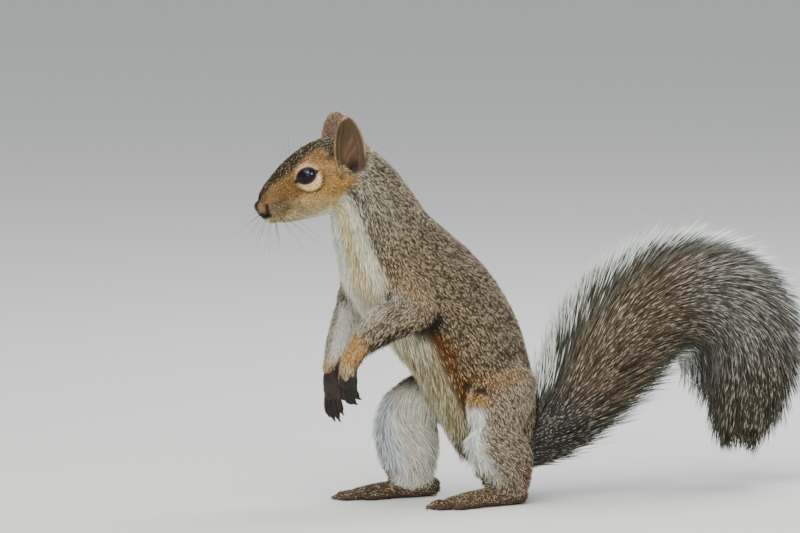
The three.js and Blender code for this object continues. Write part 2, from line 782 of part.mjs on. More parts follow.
export default squirrel;
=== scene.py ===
# %% [markdown]
# # A standing grey squirrel
# A mounted squirrel is a form of flesh under one skin, and a coat that hides most of it. The looks are
# built in that order: one closed skin round the body, then tens of thousands of small tapered tufts on
# it, then the things that aren't fur, which are the eyes, the lid rims, the claws and the whiskers.
# All lengths below are millimetres of the animal itself, with the floor at 0. It faces -Y.

# %% The frame and its box
import math
from types import SimpleNamespace

import bmesh
import bpy
import numpy as np
from mathutils import Matrix, Vector
from mathutils.bvhtree import BVHTree


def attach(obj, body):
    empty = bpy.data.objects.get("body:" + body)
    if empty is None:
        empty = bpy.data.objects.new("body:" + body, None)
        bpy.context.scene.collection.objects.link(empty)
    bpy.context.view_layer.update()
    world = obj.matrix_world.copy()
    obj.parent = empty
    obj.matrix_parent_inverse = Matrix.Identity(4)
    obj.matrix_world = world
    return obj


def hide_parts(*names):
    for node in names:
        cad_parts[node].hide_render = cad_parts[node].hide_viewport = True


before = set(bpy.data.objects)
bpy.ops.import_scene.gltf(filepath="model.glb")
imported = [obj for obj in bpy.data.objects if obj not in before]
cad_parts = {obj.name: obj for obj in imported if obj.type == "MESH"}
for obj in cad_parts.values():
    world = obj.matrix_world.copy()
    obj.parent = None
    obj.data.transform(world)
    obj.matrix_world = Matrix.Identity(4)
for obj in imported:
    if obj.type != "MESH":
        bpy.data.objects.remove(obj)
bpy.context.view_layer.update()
MIDDLE = np.array([0.0, 40.0, 0.0])  # the animal's own middle at floor level, in its millimetres


def to_scene(points):
    return (np.asarray(points, float) - MIDDLE) / 1000


def to_animal(points):
    return np.asarray(points, float) * 1000 + MIDDLE


def unit(vectors):
    vectors = np.asarray(vectors, float)
    return vectors / np.maximum(np.linalg.norm(vectors, axis=-1, keepdims=True), 1e-9)


def ramp(values, low, high):
    """0 below low, 1 above high, smooth between. With low above high it runs the other way."""
    t = np.clip((np.asarray(values, float) - low) / (high - low), 0, 1)
    return t * t * (3 - 2 * t)


# %% [markdown]
# ## Camera, light and floor
# A long lens from a few steps away keeps the proportions honest. The light is soft, as under a bright
# cloudy sky: large panels above and beside, a smaller one in front, one behind that edges the hair, and
# pale air all round. Two catch lights shine in the eyes and on nothing else.

# %% Camera
VIEW_ROUND = math.radians(65)
VIEW_UP = math.radians(6)
MM_PER_PIXEL = 0.55
IMAGE = (800, 533)
FOOT_PIXEL = (470, 500)  # where the animal's own zero falls in the image
LENS, SENSOR = 700, 36


def placed(name, data):
    """A new object in the scene, at its origin."""
    made = bpy.data.objects.new(name, data)
    bpy.context.scene.collection.objects.link(made)
    return made


right = Vector((math.cos(VIEW_ROUND), math.sin(VIEW_ROUND), 0))
back = Vector((
    math.sin(VIEW_ROUND) * math.cos(VIEW_UP), -math.cos(VIEW_ROUND) * math.cos(VIEW_UP), math.sin(VIEW_UP)))
up = back.cross(right)
target = Vector(to_scene((0, 0, 0)))
target += right * (IMAGE[0] / 2 - FOOT_PIXEL[0]) * MM_PER_PIXEL / 1000
target += up * (FOOT_PIXEL[1] - IMAGE[1] / 2) * MM_PER_PIXEL / 1000
distance = LENS * IMAGE[0] * MM_PER_PIXEL / 1000 / SENSOR

camera_data = bpy.data.cameras.new("camera")
camera_data.lens = LENS
camera_data.sensor_width = SENSOR
camera = placed("camera", camera_data)
camera.location = target + back * distance
camera.rotation_mode = "QUATERNION"
camera.rotation_quaternion = Matrix((right, up, back)).transposed().to_quaternion()
bpy.context.scene.camera = camera
print("camera", round(distance, 3), "m away")


# %% Light and floor
def linear(hex_colour, alpha=1.0):
    """An sRGB colour such as "8a6f52" as linear red, green, blue and alpha."""
    parts = [int(hex_colour[i:i + 2], 16) / 255 for i in (0, 2, 4)]
    return tuple(p / 12.92 if p <= 0.04045 else ((p + 0.055) / 1.055) ** 2.4 for p in parts) + (alpha,)


def add(tree, kind, links=(), **settings):
    """Adds a node with its settings. links are (input, socket or value) pairs."""
    made = tree.nodes.new(kind)
    for name, value in settings.items():
        setattr(made, name, value)
    for name, value in links:
        if isinstance(value, bpy.types.NodeSocket):
            tree.links.new(value, made.inputs[name])
        else:
            made.inputs[name].default_value = value
    return made


def finish(name, roughness, **sockets):
    """A material whose plain surface has a roughness and other sockets, such as Base_Color=..."""
    made = bpy.data.materials.new(name)
    made.use_nodes = True
    surface = made.node_tree.nodes["Principled BSDF"]
    surface.inputs["Roughness"].default_value = roughness
    for socket, value in sockets.items():
        surface.inputs[socket.replace("_", " ")].default_value = value
    return made, made.node_tree, surface


def mesh_object(name, points, faces):
    """A new object from points in scene metres."""
    mesh = bpy.data.meshes.new(name)
    mesh.from_pydata(np.asarray(points).tolist(), [], [tuple(f) for f in faces])
    return placed(name, mesh)


LAMPS = {  # place and size in metres, power in watts, colour
    "sky_panel": ((0.55, -0.55, 1.5), 1.2, 27, "fffaf0"),
    "side_panel": ((1.7, -0.5, 0.75), 1.3, 17, "fbfbff"),
    "eye_spark": ((1.5, -1.3, 1.5), 0.26, 8, "ffffff"),
    "edge_panel": ((-0.35, 0.75, 1.1), 0.8, 16, "f4f8ff"),
    "catch_high": ((1.77, -0.47, 1.62), 0.7, 42, "ffffff"),
    "catch_rear": ((1.89, 0.93, 0.97), 0.7, 42, "ffffff")}
LIT_PLACE = Vector((0, 0, 0.1))  # the middle of the body, which every lamp is turned to
AIR_STRENGTH = 0.72
FLOOR_REACH = 15

wet_things = bpy.data.collections.new("wet_things")
for name, (place, size, power, colour) in LAMPS.items():
    light = bpy.data.lights.new(name, "AREA")
    light.size = size
    light.energy = power
    light.color = linear(colour)[:3]
    lamp = placed(name, light)
    lamp.location = place
    lamp.rotation_mode = "QUATERNION"
    lamp.rotation_quaternion = (Vector(place) - LIT_PLACE).to_track_quat("Z", "Y")
    if name.startswith("catch"):
        lamp.light_linking.receiver_collection = wet_things
world = bpy.data.worlds.new("studio_air")
bpy.context.scene.world = world
world.use_nodes = True
air = world.node_tree.nodes["Background"].inputs
air["Color"].default_value = linear("e9eef2")
air["Strength"].default_value = AIR_STRENGTH

floor = mesh_object("floor", [(x * FLOOR_REACH, y * FLOOR_REACH, 0.0)
                              for x, y in ((-1, -1), (1, -1), (1, 1), (-1, 1))], [(0, 1, 2, 3)])
# pale matt paper, without any shine
floor.data.materials.append(finish("matt_paper", 0.95, Base_Color=linear("d3d4cf"))[0])

# %% [markdown]
# ## Where things are on the animal
# Fur grows by where it is on the body, so the script needs a map of it. The head has its own frame of
# three numbers: left of the middle, back from the nose tip, and up. Trunk, limbs and tail are lines
# through a few stations, and a point is known by how far along a line it is and which way it faces.

# %% The head's own frame
HEAD_PIVOT = np.array([0.0, -73.5, 186.0])
HEAD_YAW = math.radians(14)
HEAD_PITCH = math.radians(24.5)
PIVOT_BEHIND, PIVOT_BELOW = 55, 5  # from the tip of the nose
HEAD_BACK = np.array([
    math.sin(HEAD_YAW) * math.cos(HEAD_PITCH), math.cos(HEAD_YAW) * math.cos(HEAD_PITCH),
    math.sin(HEAD_PITCH)])
HEAD_LEFT = np.array([math.cos(HEAD_YAW), -math.sin(HEAD_YAW), 0.0])
HEAD_UP = np.cross(HEAD_LEFT, HEAD_BACK)
NOSE_TIP = HEAD_PIVOT - PIVOT_BEHIND * HEAD_BACK + PIVOT_BELOW * HEAD_UP
HEAD_AXES = np.array([HEAD_LEFT, HEAD_BACK, HEAD_UP])


def from_head(left, behind, above):
    return NOSE_TIP + np.array([left, behind, above]) @ HEAD_AXES


EYE_RADIUS = 6.2
EYE_PLACES = {side: from_head(11.5 * side, 31.1, 3.7) for side in (1, -1)}  # left is 1, right is -1


def eye_axes(side):
    """Along the lids to the back, up, and outward, at the eye of one side."""
    outward = unit(HEAD_LEFT * side - 0.2 * HEAD_BACK + 0.16 * HEAD_UP)
    along = unit(HEAD_BACK - outward * (HEAD_BACK @ outward))
    return along, np.cross(outward, along) * side, outward


# %% Lines through stations
def spline(rows, at):
    """Points on a smooth curve through rows, at station numbers that may lie between two rows."""
    rows = np.asarray(rows, float)
    at = np.clip(np.atleast_1d(np.asarray(at, float)), 0, len(rows) - 1)
    first = np.minimum(at.astype(int), len(rows) - 2)
    t = (at - first)[:, None]
    padded = np.vstack([2 * rows[0] - rows[1], rows, 2 * rows[-1] - rows[-2]])
    p0, p1, p2, p3 = (padded[first + k] for k in range(4))
    d0, d1, d2 = (np.sqrt(np.linalg.norm(b - a, axis=1, keepdims=True)) + 1e-6
                  for a, b in ((p0, p1), (p1, p2), (p2, p3)))
    start = ((p1 - p0) / d0 - (p2 - p0) / (d0 + d1) + (p2 - p1) / d1) * d1
    end = ((p2 - p1) / d1 - (p3 - p1) / (d1 + d2) + (p3 - p2) / d2) * d1
    bend = 3 * (p2 - p1) - 2 * start - end
    return p1 + start * t + bend * t**2 + (2 * (p1 - p2) + start + end) * t**3


TRUNK_LINE = [
    (0, -76, 183), (0, -65, 168.5), (0, -52.5, 143.5), (0, -41, 128), (0, -21, 108), (0, -6, 87.5),
    (0, 5, 64), (0, 12, 42), (0, 15, 26.5)]
ARM_LINES = {
    1: [(15, -50, 133), (22, -46, 120), (26, -42, 107), (27, -44, 106), (24.5, -56, 104), (22, -67.5, 98),
        (19.6, -75.5, 91), (17.6, -80.5, 82.5), (15.6, -82.5, 70), (14, -80, 59)],
    -1: [(-15, -52, 133), (-22, -56, 120), (-26, -60, 108), (-26.5, -61.5, 106.5), (-22.5, -66.5, 94),
         (-17.5, -73.5, 81), (-15.2, -77, 72.5), (-14, -78, 60), (-13, -78, 46)]}
LEG_LINES = {
    1: [(17, 19, 74), (23, 12, 62), (28.5, 3.5, 50), (31, -1.5, 41), (31, 1, 38), (30, 7.5, 24),
        (28.4, 11.5, 12.5), (27, 18, 5), (27, 2, 4), (27, -26, 3), (27, -44, 2)],
    -1: [(-17, 13, 70), (-22.5, -3, 61), (-27, -20, 53.5), (-29, -29, 46), (-29, -26.5, 39),
         (-28.6, -23.5, 24), (-27.6, -21.5, 12.5), (-26.5, -12, 5), (-26.5, -26, 4), (-26.5, -54, 3),
         (-26.5, -72, 2)]}

# Tail: y, z, and how far the brush reaches outside and inside the arch.
TAIL_ROWS = [
    (20, 30, 13, 13), (32, 31, 16, 16), (46, 37, 18, 21), (60, 50.5, 26, 30), (74, 70.5, 35, 40),
    (92, 92, 39, 42), (119, 108, 38.5, 38), (146.5, 107, 39.5, 34), (165, 89, 42.5, 35), (169, 63, 39, 34),
    (167.5, 44, 29, 29), (164, 27, 18, 18), (161, 14, 6, 6)]
TAIL_FLATNESS = 0.74
CORE_DEEP, CORE_WIDE = 0.5, 0.72  # the core as a share of the brush, in the arch's plane and across it
TAIL_END = 10.3


def tail_section(at):
    """Middle, side, back and the three reaches of the brush, at station numbers."""
    rows = [(0, y, z) for y, z, _, _ in TAIL_ROWS]
    sizes = [(outer * TAIL_FLATNESS, outer, inner) for _, _, outer, inner in TAIL_ROWS]
    middle = spline(rows, at)
    along = unit(spline(rows, np.asarray(at) + 0.02) - spline(rows, np.asarray(at) - 0.02))
    side = unit(np.array([1.0, 0, 0]) - along * along[:, :1])
    return middle, side, np.cross(side, along), spline(sizes, at)


def brush_reach(sizes, round_):
    deep = np.where(np.sin(round_) > 0, sizes[:, 1], sizes[:, 2])
    return np.hypot(np.cos(round_) * sizes[:, 0], np.sin(round_) * deep)


def off_segment(points, start, end):
    """How far each point is from the straight line between two places."""
    start, way = np.asarray(start, float), np.subtract(end, start)
    share = np.clip((points - start) @ way / (way @ way), 0, 1)
    return np.linalg.norm(points - start - share[:, None] * way, axis=1)


GROIN_FOLD = ((25, -15, 67.8), (34.5, -5.5, 65))  # where the skin folds before the left thigh
ANKLE_FRONTS = (((25, -8, 14.5), (37, -8, 14.5)), ((-32, -39, 14.5), (-20, -39, 14.5)))  # left, right
print("nose tip at", NOSE_TIP.round(1), "left eye at", EYE_PLACES[1].round(1))

# %% [markdown]
# ## One skin
# On the animal the skin is one sheet, so no seam may show where the model's pieces meet. One way would
# be to sew the pieces edge to edge. Here they are swollen a hair's breadth until they overlap, and a
# voxel remesh then finds the one surface round all of them. It is smoothed, drawn in by the depth of
# the coat, made finer on the head, and shaped there into lids, nostrils and the line of the mouth.
# The tail's skin is the slim core under its long hair.

# %% Joining the flesh
SWELL = 0.2  # closes the thin cuts between the pieces
VOXEL = 0.62
CORE_RINGS, CORE_SIDES = 64, 28


def face_outward(mesh):
    """Turns all faces of a closed mesh outward."""
    form = bmesh.new()
    form.from_mesh(mesh)
    bmesh.ops.recalc_face_normals(form, faces=form.faces)
    form.to_mesh(mesh)
    form.free()


def tube(rings):
    """Points and faces of a tube through rings of points, with a pole at each end."""
    rings = [np.asarray(ring) for ring in rings]
    sides = len(rings[0])
    points = np.vstack(rings + [rings[0].mean(0), rings[-1].mean(0)])
    faces = []
    for i in range(len(rings) - 1):
        for j in range(sides):
            a, b = i * sides + j, i * sides + (j + 1) % sides
            faces.append((a, b, b + sides, a + sides))
    low, high = len(points) - 2, len(points) - 1
    last = (len(rings) - 1) * sides
    faces += [(low, (j + 1) % sides, j) for j in range(sides)]
    faces += [(high, last + j, last + (j + 1) % sides) for j in range(sides)]
    return points, faces


def evaluated(thing):
    """The mesh that an object's modifiers give."""
    bpy.context.view_layer.update()
    return bpy.data.meshes.new_from_object(thing.evaluated_get(bpy.context.evaluated_depsgraph_get()))


flesh_nodes = sorted(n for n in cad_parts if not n.startswith(("eye_", "tail_")))
tail_nodes = sorted(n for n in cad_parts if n.startswith("tail_"))

core_at = np.linspace(0.2, TAIL_END - 0.25, CORE_RINGS)
middle, side, outer, sizes = tail_section(core_at)
hairy = np.minimum(core_at / 3, 1)[:, None]  # at its root the core still fills the whole brush
deep_share, wide_share = (1 + (share - 1) * hairy for share in (CORE_DEEP, CORE_WIDE))
core_rings = []
for turn in np.linspace(0, 2 * math.pi, CORE_SIDES, endpoint=False):
    deep = sizes[:, 1:2] if math.sin(turn) > 0 else sizes[:, 2:3]
    core_rings.append(middle + side * sizes[:, :1] * math.cos(turn) * wide_share
                      + outer * deep * math.sin(turn) * deep_share)
core_rings = np.array(core_rings).transpose(1, 0, 2)
core_points, core_faces = tube(list(core_rings))

flesh = bmesh.new()
for name in flesh_nodes:
    flesh.from_mesh(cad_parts[name].data)
bmesh.ops.remove_doubles(flesh, verts=flesh.verts, dist=1e-6)
flesh.normal_update()
for vert in flesh.verts:
    vert.co += vert.normal * SWELL / 1000
for place in EYE_PLACES.values():
    bmesh.ops.create_uvsphere(
        flesh, u_segments=24, v_segments=16, radius=EYE_RADIUS / 1000,
        matrix=Matrix.Translation(to_scene(place)))
core = bpy.data.meshes.new("core")
core.from_pydata(to_scene(core_points).tolist(), [], core_faces)
face_outward(core)
flesh.from_mesh(core)
skin = mesh_object("skin", [], [])
flesh.to_mesh(skin.data)
flesh.free()
bpy.data.meshes.remove(core)

remesh = skin.modifiers.new("one_surface", "REMESH")
remesh.mode = "VOXEL"
remesh.voxel_size = VOXEL / 1000
joined = evaluated(skin)
skin.modifiers.clear()
skin.data = joined
print("one surface:", len(joined.vertices), "points")


# %% Which part of the body each point belongs to
HEAD, EAR, NECK, TRUNK, ARM, HAND, LEG, FOOT, TAIL = range(9)
REGIONS = {
    "head": HEAD, "jaw": HEAD, "ear": EAR, "neck": NECK, "chest": TRUNK, "belly": TRUNK, "hips": TRUNK,
    "upper_arm": ARM, "forearm": ARM, "hand": HAND, "thigh": LEG, "shank": LEG, "foot": FOOT, "tail": TAIL}


def read(items, key, width=1, kind=np.float32):
    """One property of every item, as an array with one row for each."""
    values = np.empty(len(items) * width, kind)
    items.foreach_get(key, values)
    return values.reshape(-1, width) if width > 1 else values


def co_of(mesh):
    return read(mesh.vertices, "co", 3).astype(float)


def normals_of(mesh):
    return read(mesh.vertices, "normal", 3).astype(float)


class Neighbours:
    """Averages values over the neighbours of each point of a mesh."""

    def __init__(self, mesh):
        edges = read(mesh.edges, "vertices", 2, np.int32)
        self.a, self.b = edges[:, 0], edges[:, 1]
        self.count = len(mesh.vertices)
        self.valence = np.bincount(self.a, minlength=self.count) + np.bincount(self.b, minlength=self.count)

    def mean(self, values):
        flat = values.reshape(self.count, -1)
        out = np.empty_like(flat)
        for k in range(flat.shape[1]):
            column = flat[:, k]
            total = np.bincount(self.a, column[self.b], self.count)
            total = total + np.bincount(self.b, column[self.a], self.count)
            out[:, k] = total / np.maximum(self.valence, 1)
        return out.reshape(values.shape)

    def soften(self, values, times, keep=0.0):
        for _ in range(times):
            values = keep * values + (1 - keep) * self.mean(values)
        return values


def body_parts():
    """A search tree over the pieces, and the name of the piece that each of its faces is on."""
    points, faces, names = [], [], []
    for name in flesh_nodes:
        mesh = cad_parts[name].data
        shift = len(points)
        points += [v.co.copy() for v in mesh.vertices]
        faces += [[shift + i for i in p.vertices] for p in mesh.polygons]
        names += [name] * len(mesh.polygons)
    shift = len(points)
    points += [Vector(p) for p in to_scene(core_points)]
    faces += [[shift + i for i in f] for f in core_faces]
    names += ["tail"] * len(core_faces)
    return BVHTree.FromPolygons(points, faces), names


def parts_of(mesh):
    """For each point of a mesh, the number of its nearest piece in PART_NAMES, and its region."""
    found = np.empty(len(mesh.vertices), int)
    for i, vert in enumerate(mesh.vertices):
        found[i] = PART_NAMES.index(part_names[part_tree.find_nearest(vert.co)[2]])
    kinds = [REGIONS[name.removesuffix("_left").removesuffix("_right")] for name in PART_NAMES]
    return found, np.array(kinds)[found]


def by_region(table):
    """The table's entry for each point of the skin, by the region that the point is in."""
    return np.array([table[r] for r in range(9)], float)[region]


PART_NAMES = flesh_nodes + ["tail"]
part_tree, part_names = body_parts()
part, region = parts_of(skin.data)
print("points by region:", np.bincount(region))

# %% Smoothing, then fewer faces where the coat hides the skin
JOINT_STEPS = 130
SMOOTHING = {HEAD: 5, EAR: 2, NECK: 12, TRUNK: 14, ARM: 8, HAND: 1, LEG: 10, FOOT: 3, TAIL: 6}
PULL_IN, PUSH_OUT = 0.55, -0.57  # the halves of a smoothing step that doesn't shrink the body
JOINT_PULL = 0.6
web = Neighbours(skin.data)
points = co_of(skin.data)
times = web.soften(by_region(SMOOTHING), 8)
for step in range(int(times.max()) + 1):
    strength = np.clip(times - step, 0, 1)[:, None]
    for amount in (PULL_IN, PUSH_OUT):
        points = points + amount * strength * (web.mean(points) - points)
# Skin runs smoothly over a joint: here the folds between the parts are filled, not only rounded.
JOINTS = [
    ((30, -8, 44), 17), ((-22, -28, 43), 20), ((28, 12, 76), 13), ((24, 32, 66), 12), ((-24, 28, 62), 12),
    ((-26, 0, 70), 13), ((24, -24, 82), 8), ((24, -48, 122), 13), ((-24, -56, 120), 12)]
over_joint = np.zeros(len(points))
for centre, radius in JOINTS:
    away = np.linalg.norm(to_animal(points) - np.array(centre), axis=1) / radius
    over_joint = np.maximum(over_joint, ramp(away, 1.15, 0.6))
for step in range(JOINT_STEPS):
    points = points + JOINT_PULL * over_joint[:, None] * (web.mean(points) - points)
skin.data.vertices.foreach_set("co", points.astype(np.float32).ravel())

KEEP = {HEAD: 1, EAR: 1, NECK: 0.8, TRUNK: 0.75, ARM: 0.85, HAND: 1, LEG: 0.8, FOOT: 0.95, TAIL: 0.75}
SKIN_TRIANGLES = 138000
group = skin.vertex_groups.new(name="coarse")
weights = 1 - web.soften(by_region(KEEP), 4)
for level in range(11):
    chosen = np.nonzero(np.round(weights * 10) == level)[0]
    if len(chosen) and level:
        group.add(chosen.tolist(), level / 10, "REPLACE")
skin.data.calc_loop_triangles()
fewer = skin.modifiers.new("fewer_faces", "DECIMATE")
fewer.ratio = SKIN_TRIANGLES / len(skin.data.loop_triangles)
fewer.vertex_group = group.name
fewer.use_collapse_triangulate = True
lighter = evaluated(skin)
skin.modifiers.clear()
skin.vertex_groups.clear()
skin.data = lighter
print("after decimation:", len(lighter.polygons), "faces")

# %% [markdown]
# ## Lids, nostrils, mouth and ears
# The detail of a face is finer than the voxels, so the skin is first split again near the eyes, the
# nose and the mouth. A lid is the skin drawn over the eyeball: every point near the eye is measured
# from the middle of the eyeball, points inside the opening sink behind it, and those outside are laid
# over it a lid's thickness away. Nostrils and the mouth are pressed in along short lines.

# %% Finer faces on the face
FACE_SPOTS = [(EYE_PLACES[1], 11.5), (EYE_PLACES[-1], 11.5), (from_head(0, 5, -6), 12.5),
              (from_head(16, 55.5, 1), 7), (from_head(-16, 55.5, 1), 7)]
EAR_ROOT = (18.2, 54.1, -5)
EAR_LEAN = (-1.6, 8.2)
EAR_HEIGHT, EAR_HALF, EAR_CUP, EAR_WALL = 29.5, 9.8, 4.6, 1.3


def split_near(mesh, spots):
    form = bmesh.new()
    form.from_mesh(mesh)
    form.verts.ensure_lookup_table()
    places = to_animal([v.co for v in form.verts])
    near = np.zeros(len(places), bool)
    for centre, radius in spots:
        near |= np.linalg.norm(places - centre, axis=1) < radius
    edges = [e for e in form.edges if near[e.verts[0].index] and near[e.verts[1].index]]
    bmesh.ops.subdivide_edges(form, edges=edges, cuts=1, use_grid_fill=True)
    bmesh.ops.triangulate(form, faces=[f for f in form.faces if len(f.verts) > 3])
    form.to_mesh(mesh)
    form.free()


split_near(skin.data, FACE_SPOTS)
web = Neighbours(skin.data)
part, region = parts_of(skin.data)
print("with a finer face:", len(skin.data.polygons), "faces")

# %% Drawing the skin in by the coat's depth
DEPTH = {HEAD: 0.75, EAR: 0.05, NECK: 1.9, TRUNK: 2.2, ARM: 1.3, HAND: 0.1, LEG: 1.9, FOOT: 0.3, TAIL: 0.4}
P = to_animal(co_of(skin.data))
N = normals_of(skin.data)
in_head = (P - NOSE_TIP) @ HEAD_AXES.T
on_head = np.isin(region, (HEAD, EAR))
depth = by_region(DEPTH)
depth = np.where(on_head, depth * ramp(in_head[:, 1], 0, 14), depth)
for place in EYE_PLACES.values():
    depth *= np.where(on_head, ramp(np.linalg.norm(P - place, axis=1), 7, 11), 1)
N_soft = unit(web.soften(N, 4))
throat = ramp(-N_soft[:, 1], 0.1, 0.6) * ramp(P[:, 2], 122, 140) * np.isin(region, (NECK, TRUNK))
fold_away = off_segment(P, *GROIN_FOLD)
depth = web.soften(depth + 3.0 * throat, 10) + 1.1 * np.exp(-(fold_away / 1.8) ** 2)  # and the groin's fold
P = P - N_soft * depth[:, None]

# %% Lids
LID_ACROSS, LID_HIGH = 5.15, 4.0  # half the opening, along the lids and across them
LID_THICK = 0.95


def opening(side):
    """Where each point is round one eye. ring is 1 on the rim of the lids and less inside them, away is
    the distance from the eyeball's middle, and a, c and n are its parts along the lids, up and outward."""
    along, high, outward = eye_axes(side)
    offset = P - EYE_PLACES[side]
    a, c, n = offset @ along, offset @ high, offset @ outward
    return SimpleNamespace(ring=np.hypot(a / LID_ACROSS, c / LID_HIGH), offset=offset,
                           away=np.linalg.norm(offset, axis=1), a=a, c=c, n=n)


for side in (1, -1):
    eye = opening(side)
    near = (eye.n > 0) & (eye.away < 13) & on_head
    over = EYE_RADIUS + 0.05 + LID_THICK * ramp(eye.ring, 0.98, 1.35)
    sunk = EYE_RADIUS - 1.6 * ramp(eye.ring, 1.0, 0.86)
    wanted = np.where(eye.ring < 1, sunk, over)
    weight = np.where(near, ramp(eye.ring, 2.05, 1.4), 0)
    keep_out = np.maximum(eye.away, np.where(near & (eye.ring >= 1), EYE_RADIUS + 0.1, 0))
    radius = weight * wanted + (1 - weight) * keep_out
    P = EYE_PLACES[side] + eye.offset * (radius / np.maximum(eye.away, 1e-6))[:, None]
in_head = (P - NOSE_TIP) @ HEAD_AXES.T


# %% Nostrils and the line of the mouth
def near_line(points, line, mirrored=True):
    """The distance of each point from a line through a few places of the head, on both sides."""
    line = np.asarray(line, float)
    samples = spline(line, np.linspace(0, len(line) - 1, 30))
    probe = points.copy()
    if mirrored:
        probe[:, 0] = np.abs(probe[:, 0])
    return np.min(np.linalg.norm(probe[:, None, :] - samples[None], axis=2), axis=1)


NOSTRIL = [(0, 4.7, -2.6), (0, 4.5, -3.6), (0, 4.0, -5.6), (0, 3.0, -7.5), (0, 1.4, -7.4), (0, 0.2, -6.4)]
LIP_CLEFT = [(0.0, -0.6, -5.0), (0.0, 0.8, -8.0), (0.0, 3.0, -11.5), (0.0, 4.6, -13.6)]
MOUTH = [(0.2, 4.4, -13.9), (3.0, 6.0, -14.4), (5.8, 9.5, -13.9), (7.6, 14.0, -13.2), (9.6, 19.5, -12.8)]
PAD_FOLD = [(0, 6.8, -2.4), (0, 10.5, -3.6), (0, 15, -3.4)]
FAR = 9.0  # stands for any distance that is too long to matter
front = on_head & (in_head[:, 1] < 26) & (in_head[:, 2] < 8)
nostril, cleft, mouth = (np.full(len(P), FAR) for _ in range(3))
side_view = in_head * np.array([0.0, 1.0, 1.0])
nostril[front] = near_line(side_view[front], NOSTRIL)
nostril += FAR * ramp(np.abs(in_head[:, 0]), 1.6, 0.8)
cleft[front] = near_line(in_head[front], LIP_CLEFT, mirrored=False)
mouth[front] = near_line(in_head[front], MOUTH)


def bell(values, width, middle=0.0):
    """1 at the middle, falling to nothing on both sides of it."""
    return np.exp(-((values - middle) / width) ** 2)


press = 1.35 * bell(nostril, 0.62) + 0.7 * bell(cleft, 0.6) + 1.1 * bell(mouth, 0.8)
lip_roll = 0.35 * bell(mouth, 0.9, 1.9) + 0.25 * bell(nostril, 0.5, 1.3)
P = P - N_soft * (press - lip_roll)[:, None]

# %% The cups of the ears and their folds
def ear_place(places):
    """How far up an ear each place is, how far across it, and how far to the left its cup's floor lies."""
    up = (places[:, 2] - EAR_ROOT[2]) / EAR_HEIGHT
    half = EAR_HALF * np.sin(math.pi * (0.2 + 0.8 * np.clip(up, 0, 0.995))) ** 0.42 * (1 - 0.1 * up)
    across = (places[:, 1] - EAR_ROOT[1] - EAR_LEAN[1] * up) / half
    cup = EAR_CUP * (across**2 - 1) * (1 - 0.55 * up) * half / EAR_HALF
    return up, across, EAR_ROOT[0] + EAR_LEAN[0] * up + cup - 1.6 * across + EAR_WALL / 2


# The cup goes on down into the head, where the opening of the ear lies. It stays within its own ear, so
# the crown between the two ears isn't drawn down with it.
ear_up, ear_across, cup_floor = ear_place(in_head)
ear_side = np.sign(in_head[:, 0])
inner_face = ramp((N_soft @ HEAD_LEFT) * ear_side, 0.0, 0.35) * on_head
furred_edge = ramp(ear_across + 0.95 - 2.4 * np.clip(0.34 - ear_up, 0, 1), 0.08, -0.04)
in_cup = (ramp(np.abs(ear_across), 0.98, 0.8) * ramp(ear_up, -0.1, 0.03) * ramp(ear_up, 0.8, 0.6)
          * inner_face)
in_cup *= (1 - furred_edge) * ramp(np.abs(in_head[:, 0]) - cup_floor, -2.6, -1.4)
canal = 2.2 * np.exp(-((ear_across - 0.15) / 0.4) ** 2 - ((ear_up - 0.06) / 0.1) ** 2)
sink = np.clip(np.abs(in_head[:, 0]) - cup_floor + canal, 0, 6) * in_cup
P = P - np.outer(sink * ear_side, HEAD_LEFT)
in_head = (P - NOSE_TIP) @ HEAD_AXES.T
ear_face = np.where(region == EAR, ramp((N @ HEAD_LEFT) * ear_side, 0.1, 0.3), 0)
ear_inside = np.clip(ear_face + ramp(in_cup, 0.3, 0.7), 0, 1) * (1 - furred_edge)
EAR_FOLDS = [  # each a line through places with 0, how far across the ear and how far up it
    [(0, -0.62, 0.12), (0, -0.62, 0.5), (0, -0.42, 0.84)], [(0, -0.2, 0.22), (0, 0.1, 0.3), (0, 0.45, 0.36)],
    [(0, -0.3, 0.34), (0, 0.05, 0.44), (0, 0.4, 0.6)], [(0, 0.5, 0.08), (0, 0.62, 0.3), (0, 0.6, 0.55)]]
in_ear = np.stack([np.zeros(len(P)), ear_across, ear_up], 1)
fold = np.zeros(len(P))
ears = np.nonzero(ear_inside > 0.05)[0]
for line in EAR_FOLDS:
    fold[ears] += np.exp(-(near_line(in_ear[ears], line, mirrored=False) / 0.07) ** 2)
P = P + np.outer(0.6 * fold * ear_inside * ramp(np.abs(ear_across), 1, 0.85) * ear_side, HEAD_LEFT)

skin.data.vertices.foreach_set("co", to_scene(P).astype(np.float32).ravel())
skin.data.shade_smooth()
skin.data.update()
N = normals_of(skin.data)
in_head = (P - NOSE_TIP) @ HEAD_AXES.T
print("skin box", to_scene(P).min(0).round(4), to_scene(P).max(0).round(4))

# %% [markdown]
# ## The lie of the coat
# Fur leaves the nose and runs back over the head, down the trunk and out along each limb. It is drawn
# here as a few combing strokes, each a place and a direction. A point of the skin takes the mean of the
# strokes near it, laid flat on its surface, and neighbours are then combed together.

# %% Places along the trunk, limbs and tail
BLOCK = 20000  # points that are measured at once, to spare the memory


def nearest_on(points, samples):
    """The number of the sample nearest to each point."""
    found = np.empty(len(points), int)
    for start in range(0, len(points), BLOCK):
        block = points[start:start + BLOCK]
        found[start:start + BLOCK] = np.argmin(
            (block**2).sum(1)[:, None] - 2 * block @ samples.T + (samples**2).sum(1)[None], axis=1)
    return found


def along_line(points, stations, count=160):
    """How far along a line each point is, from 0 to 1, and the line's place and direction there."""
    at = np.linspace(0, len(stations) - 1, count)
    samples = spline(stations, at)
    ways = unit(np.gradient(samples, axis=0))
    index = nearest_on(points, samples)
    return index / (count - 1), samples[index], ways[index]


